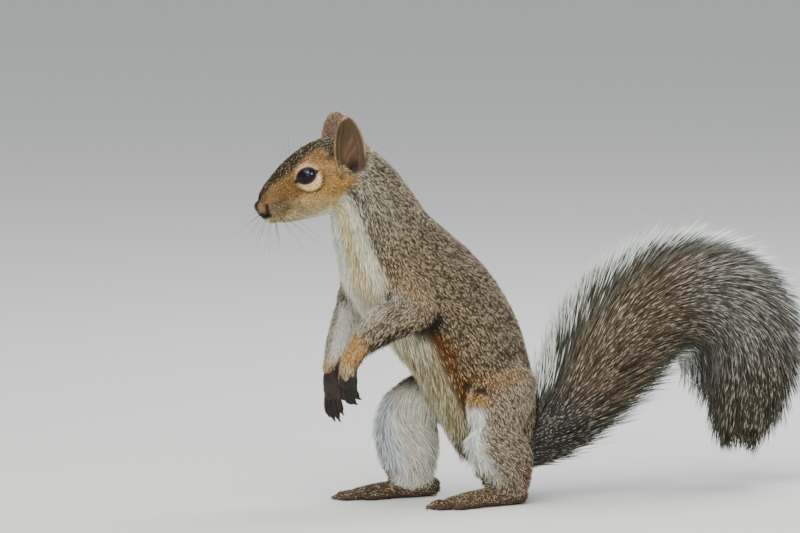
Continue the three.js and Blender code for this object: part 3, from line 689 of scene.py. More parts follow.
height = P[:, 2]  # above the floor
_, trunk_middle, trunk_way = along_line(P, TRUNK_LINE)
from_middle = P - trunk_middle
trunk_back = np.cross([1.0, 0, 0], trunk_way)
front_angle = np.degrees(np.arctan2(np.abs(from_middle[:, 0]), -(from_middle * trunk_back).sum(1)))
# The white is narrower behind the arms and between the legs.
front_angle += (9 * ramp(height, 110, 98) + 7 * ramp(height, 92, 72)) * ramp(height, 30, 45)

left_half = P[:, 0] > 0
is_left = np.array([name.endswith("left") for name in PART_NAMES])[part]
limb_at, limb_middle, limb_way = np.zeros(len(P)), P.copy(), np.zeros((len(P), 3))
for lines, regions in ((ARM_LINES, (ARM, HAND)), (LEG_LINES, (LEG, FOOT))):
    for side in (1, -1):
        mine = np.isin(region, regions) & (is_left == (side > 0))
        limb_at[mine], limb_middle[mine], limb_way[mine] = along_line(P[mine], lines[side])
limb_side = np.where(is_left, 1.0, -1.0)
limb_out = unit(P - limb_middle)
outer_side = limb_out[:, 0] * limb_side
forward_side = -limb_out[:, 1]

TAIL_STEPS = 480
tail_stations = np.linspace(0, len(TAIL_ROWS) - 1, TAIL_STEPS)
tail_middle, tail_side, tail_back, tail_sizes = tail_section(tail_stations)
on_tail = region == TAIL
tail_index = np.zeros(len(P), int)
tail_index[on_tail] = nearest_on(P[on_tail], tail_middle)
tail_at = tail_stations[tail_index]
tail_offset = P - tail_middle[tail_index]
tail_round = np.arctan2((tail_offset * tail_back[tail_index]).sum(1),
                        (tail_offset * tail_side[tail_index]).sum(1))

# %% Combing strokes
# In the head: left, back and up of the stroke, then its direction in the same three numbers.
HEAD_STROKES = [
    ((0, 2, 2), (0, 1, 0.6)), ((0, 12, 8), (0, 1, 0.45)), ((0, 25, 14), (0, 1, 0.3)),
    ((0, 44, 18), (0, 1, -0.1)), ((0, 62, 12), (0, 1, -0.6)), ((7, 10, -3), (0.2, 1, 0.1)),
    ((4, 5, -10), (0.3, 1, -0.75)), ((8, 16, -10), (0.3, 1, -0.35)), ((14, 24, -6), (0.2, 1, -0.25)),
    ((17, 33, -9), (0, 1, -0.3)), ((18, 42, -8), (0, 1, -0.35)), ((14, 34, -18), (-0.1, 1, -0.6)),
    ((17, 46, 3), (0, 1, -0.1)),
    ((12, 22, 5), (0.1, 1, 0.3)), ((11, 33, 13), (0.1, 1, 0.12)), ((15, 40, 12), (0.1, 1, -0.1)),
    ((0, 10, -17), (0.1, 1, -0.2)), ((0, 28, -23), (0, 1, -0.5)), ((15, 56, -10), (0, 0.8, -0.7))]


def strokes(points, table, spread):
    """The mean direction of the strokes near each point, mirrored to both sides."""
    probe = points.copy()
    sign = np.sign(probe[:, 0]) + (probe[:, 0] == 0)
    probe[:, 0] = np.abs(probe[:, 0])
    places = np.array([row[0] for row in table], float)
    ways = unit(np.array([row[1] for row in table], float))
    weight = np.exp(-((probe[:, None, :] - places[None]) ** 2).sum(2) / (2 * spread**2)) + 1e-9
    mean = unit(weight @ ways)
    mean[:, 0] *= sign
    return mean


lie = np.zeros((len(P), 3))
head_way = strokes(in_head, HEAD_STROKES, 6.5) @ HEAD_AXES
lie[region == HEAD] = head_way[region == HEAD]
lie[region == EAR] = HEAD_UP + 0.15 * HEAD_BACK
toward_middle = -np.sign(P[:, :1]) * np.array([[1.0, 0, 0]]) * ramp(front_angle, 60, 20)[:, None] * 0.25
body_way = unit(trunk_way + toward_middle + np.array([0, 0, -0.35]) * ramp(front_angle, 90, 30)[:, None])
lie[np.isin(region, (NECK, TRUNK))] = body_way[np.isin(region, (NECK, TRUNK))]
limbs = np.isin(region, (ARM, HAND, LEG, FOOT))
droop = np.where(region == ARM, 0.55, 0.2)[:, None] * np.array([[0, 0, -1.0]])
slanting = np.where(region == LEG, ramp(height, 12, 30), 0)[:, None]
slant = slanting * ramp(outer_side, -0.2, 0.5)[:, None] * np.array([[0, 0.8, -0.3]])
slant += slanting * ramp(outer_side, -0.1, -0.6)[:, None] * np.array([[0, 0.7, -0.2]])
lie[limbs] = unit(limb_way + droop + slant)[limbs]
lie[(region == FOOT) & (height < 10.5)] = np.array([0, -1.0, -0.1])

# Round the eye the hair parts at the front corner and runs round the lids.
for side in (1, -1):
    eye = opening(side)
    along, high, _ = eye_axes(side)
    round_lid = unit(np.outer(np.abs(eye.c) + 2.5, along) + np.outer(-eye.a * np.sign(eye.c) * 0.55, high))
    weight = (ramp(eye.ring, 2.4, 1.3) * (eye.n > 0) * (region == HEAD) * (eye.away < 15))[:, None]
    lie = lie * (1 - weight) + round_lid * weight

LOOK_AHEAD = 40  # steps along the tail


def on_brush(index, reach):
    """A place at each point's own angle round the tail, at a step along it and so far out."""
    return tail_middle[index] + reach[:, None] * (
        np.cos(tail_round)[:, None] * tail_side[index] + np.sin(tail_round)[:, None] * tail_back[index])


# Tail hair leaves the core at a slant: its direction runs from the root to a tip on the brush. pace is
# how far, in millimetres, one step along the tail goes when it is measured out in the brush.
advance = 17 + 21 * np.abs(np.sin(tail_round)) ** 1.5  # millimetres, most at the edges of the brush
reach_here = np.maximum(brush_reach(tail_sizes[tail_index], tail_round), 1)
outside = tail_middle[tail_index] + 0.6 * reach_here[:, None] * unit(tail_offset)
ahead = np.clip(tail_index + LOOK_AHEAD, 0, TAIL_STEPS - 1)
ahead_point = on_brush(ahead, 0.6 * reach_here)
pace = np.maximum(np.linalg.norm(ahead_point - outside, axis=1) / np.maximum(ahead - tail_index, 1), 0.23)
grown = ramp(tail_at, 0.4, 3.2)
tip_index = np.clip(tail_index + advance * (0.35 + 0.65 * grown) / pace, 0, TAIL_STEPS - 1).astype(int)
tail_chord = on_brush(tip_index, brush_reach(tail_sizes[tip_index], tail_round)) - P
tail_length = np.linalg.norm(tail_chord, axis=1)
lie[on_tail] = unit(tail_chord)[on_tail]

flat = lie - N * (lie * N).sum(1, keepdims=True)
flat = unit(web.soften(unit(flat), 6))
flat = unit(flat - N * (flat * N).sum(1, keepdims=True))
print("combed", len(P), "points")

# %% [markdown]
# ## Length, lift and markings
# Fur is shortest on the nose, paws and lids and longest on the belly. The markings belong to the
# species: a grizzled grey-brown back, where single hairs are banded dark and pale, rusty cheeks and a
# rusty line along the flank, a pale ring round the eye, a white belly and dark paws. One function paints
# them by place on the body, and the skin and every tuft read the same paint.

# %% How long the coat is, and how it stands
mottle = web.soften(np.random.default_rng(11).normal(0, 1, len(P)), 8)
mottle /= mottle.std()
LONGEST = 1.15  # the longest hairs, as a share of the length given for their place
TAIL_HAIR_SHARE, TAIL_HAIR_WIDE = 0.82, 0.46  # of the way to the edge of the brush, and millimetres
COAT = {  # millimetres long and wide, and the degrees that it stands up
    HEAD: (2.2, 0.3, 12), EAR: (1.2, 0.26, 10), NECK: (3.6, 0.3, 19), TRUNK: (3.8, 0.29, 15),
    ARM: (3.8, 0.3, 16), HAND: (1.4, 0.3, 10), LEG: (3.8, 0.29, 15), FOOT: (2.2, 0.4, 12),
    TAIL: (8.0, 0.8, 18)}
long_, wide_, lift_ = by_region(COAT).T
BELLY_EDGE = 62  # degrees round from the front, where the long pale hair begins
white_belly = ramp(front_angle, BELLY_EDGE, 48) * np.isin(region, (TRUNK, NECK))
long_ += 5.2 * white_belly * ramp(height, 26, 66) * (1 - 0.5 * ramp(height, 120, 140))
lift_ += 7 * white_belly
muzzle = ramp(in_head[:, 1], 26, 6) * (region == HEAD)
long_ *= 1 - 0.52 * muzzle
wide_ *= 1 - 0.25 * muzzle
long_[region == HEAD] *= (1 + 0.5 * ramp(in_head[:, 1], 38, 62))[region == HEAD]
inner_leg = ramp(outer_side, 0.1, -0.4) * (region == LEG)
shin = ramp(forward_side, 0.5, 0.75) * ramp(outer_side, 0.5, 0.2) * ramp(height, 60, 50) * (region == LEG)
beneath = (region == TRUNK) * ramp(N[:, 2], -0.3, -0.8) * ramp(height, 52, 42)
for place, longer, steeper in ((inner_leg, 3, 0), (shin, 2.5, 12), (beneath, 4, 28)):
    long_ += longer * place
    lift_ += steeper * place
from_ankle = np.minimum(*[off_segment(P, *line) for line in ANKLE_FRONTS])
ankle_front = ramp(from_ankle, 8, 4)
long_ *= 1 - 0.4 * ankle_front
lift_ *= 1 - 0.7 * ankle_front
under_arm = (ramp(limb_out[:, 2], 0.1, -0.6) * (region == ARM) * ramp(limb_at, 0.25, 0.4)
             * ramp(limb_at, 0.8, 0.6))
long_ += 2.5 * under_arm
lift_ += 8 * under_arm
furred_above = np.where(is_left, 75.5, 77) + 1.6 * mottle  # the lower edge of the fur on each hand
long_ = np.where((region == HAND) & (height > furred_above), 3.2, long_)
long_ += 1.6 * furred_edge * (ear_face > 0.3)
length = web.soften(long_, 6)
width = web.soften(wide_, 6)
lift = np.radians(web.soften(lift_, 6))
for side in (1, -1):
    eye = opening(side)
    lid = ramp(eye.ring, 1.05, 2.2) * (eye.n > 0) + (eye.n <= 0)
    length = np.where((eye.away < 14) & on_head, length * (0.3 + 0.7 * lid), length)
lie_up = flat * np.cos(lift)[:, None] + N * np.sin(lift)[:, None]
length[on_tail] = TAIL_HAIR_SHARE * np.maximum(tail_length, 5)[on_tail]
width[on_tail] = TAIL_HAIR_WIDE
lie_up[on_tail] = unit(tail_chord)[on_tail]


# %% Paint
class Paint:
    """A colour for each point of the skin, and the shares of dark and of pale hairs there."""

    def __init__(self, count, colour, dark, pale):
        self.colour = np.tile(np.array(linear(colour)[:3]), (count, 1))
        self.dark = np.full(count, float(dark))
        self.pale = np.full(count, float(pale))

    def lay(self, mask, colour, dark, pale):
        mask = np.clip(np.asarray(mask, float), 0, 1)
        self.colour += (np.array(linear(colour)[:3]) - self.colour) * mask[:, None]
        self.dark += (dark - self.dark) * mask
        self.pale += (pale - self.pale) * mask


def spot(centre, radius, soft=0.35):
    """1 within a ball on the animal, 0 outside it, with a soft edge."""
    away = np.linalg.norm(P - np.asarray(centre, float), axis=1) / radius
    return ramp(away, 1 + soft, 1 - soft)


def line_spot(start, end, radius, soft=0.5):
    """1 along a straight line on the animal, 0 away from it, with a soft edge."""
    return ramp(off_segment(P, start, end) / radius, 1 + soft, 1 - soft)


def head_spot(centre, radii, soft=0.6):
    """1 within an ellipsoid of the head, on both sides."""
    probe = in_head.copy()
    probe[:, 0] = np.abs(probe[:, 0])
    away = np.linalg.norm((probe - np.asarray(centre, float)) / np.asarray(radii, float), axis=1)
    return ramp(away, 1 + soft, 1 - soft)


body = np.isin(region, (NECK, TRUNK)) * 1.0
paint = Paint(len(P), "5e4e39", 0.42, 0.35)
lay = paint.lay
# Back and flank: greyer above, warmer on the flank.
lay(body * ramp(front_angle, 115, 85) * ramp(height, 118, 132), "6b5b46", 0.38, 0.36)
lay(body * ramp(front_angle, 112, 140), "50473a", 0.45, 0.34)
lay(body * ramp(front_angle, 112, 85) * ramp(height, 135, 105), "5c4a33", 0.42, 0.36)
lay(body * ramp(front_angle, 76, 62) * ramp(height, 150, 130) * 0.4, "805a34", 0.34, 0.26)
lay(body * ramp(front_angle, 78, 65) * ramp(height, 106, 94), "6a4216", 0.4, 0.08)
# Neck: white and black flecks behind the ear.
lay((region == NECK) * 0.5, "75726a", 0.45, 0.44)
lay((region == NECK) * ramp(front_angle, 40, 70) * ramp(height, 150, 166), "7d7b70", 0.42, 0.48)
lay((region == NECK) * ramp(front_angle, 95, 135), "504f44", 0.46, 0.4)
# White underside, with a little cream in the middle of the chest.
lay(body * ramp(front_angle, 56, 50), "dcd6bb", 0.02, 0.4)
lay(body * ramp(front_angle, 8, 16) * ramp(front_angle, 38, 28) * ramp(height, 105, 125), "c9ba84", 0.03,
    0.3)
lay(body * ramp(front_angle, 10, 3) * ramp(height, 112, 125), "d9e2e2", 0.01, 0.3)
# The lower belly darker and duller: partly a buff tone of its hair, partly painted shade.
lay(body * ramp(front_angle, 56, 50) * ramp(height, 108, 80), "a89d72", 0.12, 0.3)
# Painted shade at the bottom of the belly, between the legs.
lay(body * ramp(front_angle, 60, 50) * ramp(height, 42, 30), "6b5e46", 0.32, 0.2)
# Limbs: the outside is grizzled, the inside is white.
shank_over_foot = (region == FOOT) * ramp(height, 9.5, 12)
arm, leg = (region == ARM) * 1.0, (region == LEG) + shank_over_foot
fore = ramp(limb_at, 0.3, 0.4)
lay(arm * (1 - fore), "77674f", 0.34, 0.34)
lay(arm * (1 - fore) * ramp(forward_side, 0.2, 0.8) * 0.4, "86684a", 0.3, 0.25)
lay(arm * fore, "6f6555", 0.38, 0.42)
lay(arm * ramp(outer_side, -0.05, -0.5), "e0e0d8", 0.05, 0.45)
fore_front = ramp(np.maximum(forward_side, limb_out[:, 2]), 0.35, 0.8) * ramp(outer_side, 0.8, 0.5)
lay(arm * fore * fore_front * ramp(P[:, 1], -58, -67) * ramp(outer_side, -0.6, -0.1), "a8a79d", 0.32, 0.5)
lay(arm * (1 - fore) * ramp(forward_side, 0.6, 0.9) * ramp(height, 124, 116), "93918a", 0.4, 0.5)
under_fore = arm * fore * ramp(limb_out[:, 2], -0.05, -0.5) * ramp(outer_side, -0.3, 0.2)
lay(under_fore * ramp(limb_at, 0.7, 0.62) * np.where(is_left, 1, 0.4), "2b2620", 0.72, 0.24)
wrist = arm * ramp(limb_at, 0.58, 0.66) * ramp(outer_side, -0.35, 0.1)
lay(wrist, "b2854b", 0.12, 0.2)
lay(arm * ramp(limb_at, 0.6, 0.7) * ramp(outer_side, -0.1, -0.4), "c4a77c", 0.08, 0.3)
lay(wrist * ramp(limb_out[:, 1], 0.2, 0.7), "7c5a35", 0.5, 0.1)
lay(leg, "7d7161", 0.34, 0.38)
lay(leg * ramp(outer_side, 0.05, -0.35), "e4e0cd", 0.06, 0.35)
leg_front = leg * ramp(forward_side, 0.5, 0.72) * ramp(height, 62, 54)
lay(leg_front * ramp(outer_side, 0.88, 0.55), "97938a", 0.32, 0.55)
lay(leg_front * ramp(outer_side, 0.6, 0.35), "e6e9e2", 0.08, 0.5)
lay(ankle_front * (leg + (region == FOOT) * 1.0) * ramp(height, 8.5, 11), "a19b8d", 0.2, 0.4)
pale_leg = np.maximum(leg * ramp(outer_side, 0.05, -0.35), leg_front * ramp(outer_side, 0.6, 0.35)) > 0.4
lay(leg * ramp(forward_side, 0.5, 0.8) * ramp(outer_side, -0.7, -0.35) * (1 - is_left), "c3ccd2", 0.08, 0.4)
heel = leg * ramp(-forward_side, 0.1, 0.7) * ramp(height, 34, 16) * ramp(outer_side, -0.2, 0.3)
lay(heel, "6e4a33", 0.38, 0.15)
# The rusty patch before the thigh, and painted shade in the fold there and behind the elbow.
RUST = [  # from, to, radius, softness and strength of each stroke on the left side, then its paint
    ((23, -19, 71), (33, 0, 70), 4.5, 0.5, 0.8, "76491d", 0.4, 0.2),
    ((33, 0, 70), (31, 15, 73), 4.8, 0.6, 0.7, "8d6a3d", 0.36, 0.3),
    ((29, -17, 61.5), (33, -9, 59.5), 5, 0.5, 1, "9c703a", 0.26, 0.2)]
for side in (1, -1):
    for start, end, radius, soft, strength, *hairs in RUST:
        stroke = line_spot(np.multiply(start, (side, 1, 1)), np.multiply(end, (side, 1, 1)), radius, soft)
        lay(stroke * (body + leg) * strength, *hairs)
# Painted shade along the skin's fold before the left thigh, over its pressed groove.
lay(ramp(fold_away, 2.3, 1.1) * (body + leg), "1d140c", 0.95, 0)
# Painted shade behind each elbow, where the arm meets the body.
lay(line_spot((26, -36, 103), (24, -42, 98), 6.5) * (body + arm), "17120d", 0.9, 0.02)
lay(spot((-26, -50, 104), 6) * (body + arm) * 0.6, "17120d", 0.9, 0.1)
knee_top = leg * ~is_left * ramp(height, 60, 66) * ramp(P[:, 1], -34, -28)
lay(knee_top, "5c4935", 0.5, 0.15)
# Hands and feet.
hand = (region == HAND) * 1.0
past_wrist = np.where(is_left, 82, 72.5) - height  # each hand hangs down, so this is how far out along it
lay(hand, "20160b", 0.3, 0.0)
# On the far hand, patches that are partly its own purplish-brown skin, partly painted highlight.
lay(hand * ~is_left * ramp(past_wrist, 22, 10) * ramp(mottle, -0.9, 0.9), "3d2924", 0.1, 0.0)
bare_wrist = arm * ~is_left * ramp(height - (P[:, 1] + 78) - 1.2 * mottle, 78, 75.5)
lay(bare_wrist, "37261f", 0.1, 0.0)
hand_back = hand * ramp(height - furred_above, -0.4, 0.4) * ramp(limb_out[:, 1], 0.6, 0.1)
lay(hand_back * is_left, "b39a6c", 0.12, 0.3)
lay(hand_back * ~is_left, "b39b72", 0.1, 0.25)
lay((region == FOOT) * 1.0 - shank_over_foot, "5f4c39", 0.28, 0.22)
lay((region == FOOT) * ramp(height, 4, 1.5), "5a463a", 0.1, 0.02)
nipples = np.maximum(spot((-8, -24.5, 49.5), 1.6), spot((-2.5, -22.5, 44), 2.2))

# %% Paint of the head and tail
head = (region == HEAD) * 1.0
left_, behind_, above_ = np.abs(in_head[:, 0]), in_head[:, 1], in_head[:, 2]
lay(head, "a17b48", 0.15, 0.13)
lay(head * ramp(above_ - 0.28 * behind_, -0.5, 3.5), "282317", 0.57, 0.15)
lay(head * ramp(behind_, 44, 52) * ramp(above_, -12, -4), "736851", 0.36, 0.4)
lay(head * ramp(behind_, 40, 46) * ramp(above_, 5, 9), "322e23", 0.54, 0.18)
lay(head * ramp(above_ + 0.44 * np.maximum(behind_ - 33, -8), -7, -10.5), "b8a16f", 0.08, 0.16)
lay(head * ramp(behind_, 50, 58) * ramp(above_, 0, -8), "9b9885", 0.32, 0.5)
for centre, radii, *hairs in (
        ((9, 16, 0.5), (7, 9, 6), "80602f", 0.22, 0.05), ((10, 24, 3), (6, 6, 6), "7b5b2e", 0.24, 0.04),
        ((13, 37, 11), (5, 8, 4), "8a6a3e", 0.24, 0.14), ((16, 41, -7), (6, 12, 5), "a9803f", 0.16, 0.14)):
    lay(head_spot(centre, radii), *hairs)
lay(head_spot((6, 10, -7.5), (6, 7.5, 4.5), 0.5), "87714f", 0.34, 0.24)
# Painted shade along the fold at the top of the whisker pad.
lay(head * bell(near_line(side_view, PAD_FOLD, mirrored=False), 0.9) * 0.6, "4a3620", 0.5, 0)
lay(head * ramp(above_, -12.5, -15) * ramp(behind_, 30, 22), "b9a585", 0.06, 0.2)
lay(head * ramp(above_, -16, -19) * ramp(behind_, 14, 26), "c9c6ae", 0.03, 0.35)
for side in (1, -1):
    eye = opening(side)
    near_eye = head * (eye.n > 0) * (eye.away < 14)
    pale_ring = np.hypot((eye.a - 0.2) / 7.4, (eye.c + 0.9) / 8.0)  # wider behind and below the eye
    lay(near_eye * bell(pale_ring, 0.09, 1.1) * ramp(-eye.c, 1, 4), "4f3517", 0.5, 0)
    lay(near_eye * ramp(pale_ring, 1.13, 0.74), "e8c188", 0.03, 0.12)
    lay(near_eye * ramp(pale_ring, 1.02, 0.76) * ramp(-eye.c, 0.5, 3.5), "ffdc9c", 0.0, 0.1)
    lay(near_eye * ramp(pale_ring, 1.05, 0.85) * ramp(-eye.a, 4, 8) * 0.8, "9a7847", 0.1, 0)
    corner = np.abs(eye.c + 0.4) < 0.9 * ramp(np.abs(eye.a), 9.2, 5.2) + 0.25
    lay(near_eye * corner * ramp(np.abs(eye.a), 8.4, 7.6), "1d1611", 0.9, 0)
    lay(near_eye * ramp(eye.ring, 1.2, 1.1), "1a1410", 0.9, 0)
bridge = head * ramp(behind_, 9, 3) * ramp(above_, -1.5, 1)
lay(bridge, "38301f", 0.5, 0.05)
nose = head * ramp(behind_, 5.6, 4.4) * ramp(above_, -10, -8.6)
lay(nose, "73562f", 0.2, 0.05)
lay(nose * np.maximum(ramp(left_, 3.4, 2.4), ramp(above_ + 0.5 * behind_, -4.2, -5.4)), "15120e", 0.4, 0.0)
lay(head * bell(nostril, 0.5), "120d0b", 1, 0)
lay(head * bell(mouth, 0.75), "1b1310", 1, 0)
lay(head * bell(cleft, 0.6) * 0.8, "2b1f19", 0.8, 0)

ear = (region == EAR) * 1.0
rim = ramp(np.abs(ear_across), 0.86, 0.97)
lay(ear, "776150", 0.14, 0.22)
lay(ear * furred_edge, "8f7349", 0.2, 0.16)
lay(ear_inside, "573f20", 0.1, 0.05)
lay(ear_inside * ramp(ear_up, 0.5, 0.85), "4a3618", 0.1, 0.05)
lay(ear_inside * ramp(ear_up, 0.42, 0.2), "4f3722", 0.05, 0.02)
lay(ear_inside * ramp(ear_across, -0.66, -0.76), "48351f", 0, 0)
lay(ear_inside * fold * 0.45, "674a30", 0, 0)
# Painted shade: the opening of the ear, deep in its cup, is painted near black.
ear_hole_shade = np.exp(-((ear_across - 0.15) / 0.2) ** 2 - ((ear_up - 0.05) / 0.055) ** 2)
lay(ear_inside * np.clip(1.5 * ear_hole_shade, 0, 1), "120a08", 0, 0)
ear_edge = ear * np.maximum(rim, ramp(ear_up, 0.955, 0.985)) * ramp(ear_up, 0.1, 0.25) * (1 - furred_edge)
lay(ear_edge, "b8966f", 0.02, 0.3)

tail_fur = on_tail * 1.0
lay(tail_fur, "5c4f3b", 0.38, 0.37)
lay(tail_fur * ramp(tail_at, 3.2, 2.0), "3f3d39", 0.44, 0.34)
lay(tail_fur * ramp(tail_at, 5.3, 6.6), "6e6c67", 0.42, 0.6)
lay(tail_fur * ramp(tail_at, 7.6, 8.8), "4f4a3c", 0.5, 0.34)
# Painted shade in the hollows of hands, feet and ears: the paint is darkened where the skin curves inward.
crease_shade = np.clip(((web.soften(P, 3) - P) * N).sum(1) / 0.22, 0, 1) * np.isin(region, (HAND, FOOT, EAR))
crease_shade = np.clip(crease_shade * np.select([region == HAND, region == FOOT], [1.6, height < 8], 1.0), 0, 1)
paint.colour *= (1 - 0.65 * crease_shade)[:, None]
paint.colour *= (1 + 0.07 * mottle)[:, None]
paint.colour = web.soften(paint.colour, 1, keep=0.4)
print("painted; mean colour", paint.colour.mean(0).round(3))

# %% How thick the coat grows, and the bare places
thick = np.ones(len(P))
for side in (1, -1):
    eye = opening(side)
    thick *= np.where(on_head & (eye.n > 0) & (eye.away < 13), ramp(eye.ring, 1.16, 1.4), 1)
thick *= np.where(region == HEAD, ramp(behind_, 1.6, 4.0), 1)
thick *= 1 - ear_inside
thick *= np.where(region == HAND, 0.04 + 0.96 * hand_back, 1) * (1 - 0.9 * bare_wrist)
thick *= 1 - np.clip(nipples, 0, 1)
thick *= np.where(mouth < 0.8, 0, 1)
thick *= np.where((region == FOOT) & (height < 1.2), 0, 1)
bald = ((region == HAND) & (hand_back < 0.5)) | (bare_wrist > 0.5) | (ear_inside > 0.5)
bald |= (region == HEAD) & (behind_ < 3)
moist = np.select([on_head & (behind_ > 30), region == HAND, region == ARM], [0.35, 0.25, 0.25], 1.0)
bare = web.soften(bald * moist, 2)  # the nose is moist, the ears and palms hardly

# %% Storing it all on the skin
(HEAD_COAT, BACK_LEFT, BELLY, ARMS, LEG_LEFT, TAIL_ROOT, TAIL_ARCH, TAIL_END_COAT, BACK_RIGHT,
 LEG_RIGHT) = range(10)
ARCH_FROM, END_FROM = 4.9, 7.0  # the stations of the tail where its next coat piece begins
COAT_REGION = {HEAD: HEAD_COAT, EAR: HEAD_COAT, NECK: BACK_LEFT, TRUNK: BACK_LEFT, ARM: ARMS, HAND: ARMS,
               LEG: LEG_LEFT, FOOT: LEG_LEFT, TAIL: TAIL_ROOT}
patch_of = by_region(COAT_REGION).astype(int)
patch_of = np.where(((patch_of == BACK_LEFT) & (front_angle < BELLY_EDGE)) | pale_leg, BELLY, patch_of)
patch_of = np.where((patch_of == BACK_LEFT) & ~left_half, BACK_RIGHT, patch_of)
patch_of = np.where((patch_of == LEG_LEFT) & ~left_half, LEG_RIGHT, patch_of)
patch_of = np.where(on_tail & (tail_at > ARCH_FROM), TAIL_ARCH, patch_of)
patch_of = np.where(on_tail & (tail_at > END_FROM), TAIL_END_COAT, patch_of)


def store(mesh, name, kind, values, domain="POINT"):
    layer = mesh.attributes.get(name) or mesh.attributes.new(name, kind, domain)
    key = {"FLOAT": "value", "INT": "value", "FLOAT_COLOR": "color", "FLOAT_VECTOR": "vector"}[kind]
    values = np.asarray(values, np.int32 if kind == "INT" else np.float32)
    layer.data.foreach_set(key, np.ascontiguousarray(values).ravel())


UNDER_FUR = 0.55  # how light the skin is where fur keeps the light off it
store(skin.data, "coat_colour", "FLOAT_COLOR", np.concatenate([paint.colour, np.ones((len(P), 1))], 1))
for name, values in (("dark_share", paint.dark), ("pale_share", paint.pale), ("thick", thick),
                     ("bare", bare), ("under", UNDER_FUR + (1 - UNDER_FUR) * bare)):
    store(skin.data, name, "FLOAT", values)
store(skin.data, "lie", "FLOAT_VECTOR", lie_up)
store(skin.data, "hair_size", "FLOAT_VECTOR", np.stack([length, width, width], 1) / 1000)
corner_point = read(skin.data.loops, "vertex_index", kind=np.int32)
first_corner = read(skin.data.polygons, "loop_start", kind=np.int32)
# A face that is half on the tail is the tail's.
tail_patch = np.where(np.isin(patch_of, (TAIL_ROOT, TAIL_ARCH, TAIL_END_COAT)), patch_of, 0)
tail_patch = np.maximum.reduceat(tail_patch[corner_point], first_corner)
face_patch = np.where(tail_patch > 0, tail_patch, patch_of[corner_point[first_corner]])
store(skin.data, "patch", "INT", face_patch, "FACE")
print("faces by coat piece:", np.bincount(face_patch))

# %% A flat plan of the skin
PLAN_ANGLE, PLAN_MARGIN = 75, 0.002  # the degrees that one island may bend, and the gap between two
bpy.context.view_layer.objects.active = skin
skin.select_set(True)
bpy.ops.object.mode_set(mode="EDIT")
bpy.ops.mesh.select_all(action="SELECT")
bpy.ops.uv.smart_project(angle_limit=math.radians(PLAN_ANGLE), island_margin=PLAN_MARGIN)
bpy.ops.object.mode_set(mode="OBJECT")
skin.data.uv_layers[0].name = "OFBake"
print("skin plan made")

# %% [markdown]
# ## Skin and hair finishes
# Skin is soft and slightly moist where it is bare, and matt and dark under fur, because little light
# gets down there. A hair is keratin: a clear scale-covered rod, so it has a weak sheen along it and its
# colour lies inside. The banding of one hair, pale near the tip, is what gives the grizzled look, so each
# tuft is banded along its length and toned by a chance number of its own. Each tuft is also painted
# darker towards its root, a painted shade of the coat above it.


# %% Finishes
def calc(tree, operation, *values):
    """The result of one sum on sockets or numbers."""
    return add(tree, "ShaderNodeMath", enumerate(values), operation=operation).outputs[0]


def scaled(tree, vector, by):
    return add(tree, "ShaderNodeVectorMath", [(0, vector), ("Scale", by)], operation="SCALE").outputs[0]


def mapped(tree, value, **ends):
    """A value carried from one range to another. ends are such as From_Min=0.3."""
    links = [("Value", value)] + [(name.replace("_", " "), end) for name, end in ends.items()]
    return add(tree, "ShaderNodeMapRange", links).outputs["Result"]


def blend(tree, share, first, second):
    """One colour that turns to a second one by a share."""
    return add(tree, "ShaderNodeMix", [("Factor", share), ("A", first), ("B", second)],
               data_type="RGBA").outputs["Result"]


def painted(tree, name):
    """A number that is stored on the mesh."""
    return add(tree, "ShaderNodeAttribute", attribute_name=name).outputs["Fac"]


def skin_finish():
    """Skin: hide under fur, bare and faintly moist on paws, nose and ears."""
    made, tree, surface = finish("living_skin", 0.62, IOR=1.42)
    colour = add(tree, "ShaderNodeAttribute", attribute_name="coat_colour").outputs["Color"]
    under_fur = painted(tree, "under")
    place = add(tree, "ShaderNodeTexCoord").outputs["Object"]
    pores = add(tree, "ShaderNodeTexNoise", [  # about 0.6 mm apart
        ("Vector", place), ("Scale", 1600.0), ("Detail", 3.0)]).outputs["Fac"]
    folds = add(tree, "ShaderNodeTexVoronoi", [("Vector", place), ("Scale", 900.0)]).outputs["Distance"]
    fleck = mapped(tree, pores, From_Min=0.3, From_Max=0.7, To_Min=0.72, To_Max=1.2)
    shade = calc(tree, "MULTIPLY", fleck, under_fur)
    tree.links.new(scaled(tree, colour, shade), surface.inputs["Base Color"])
    grain = calc(tree, "ADD", pores, folds)
    bump = add(tree, "ShaderNodeBump", [("Height", grain), ("Strength", 0.5), ("Distance", 0.0003)])
    tree.links.new(bump.outputs["Normal"], surface.inputs["Normal"])
    moist = mapped(tree, painted(tree, "bare"), To_Min=0.75, To_Max=0.42)
    tree.links.new(moist, surface.inputs["Roughness"])
    return made


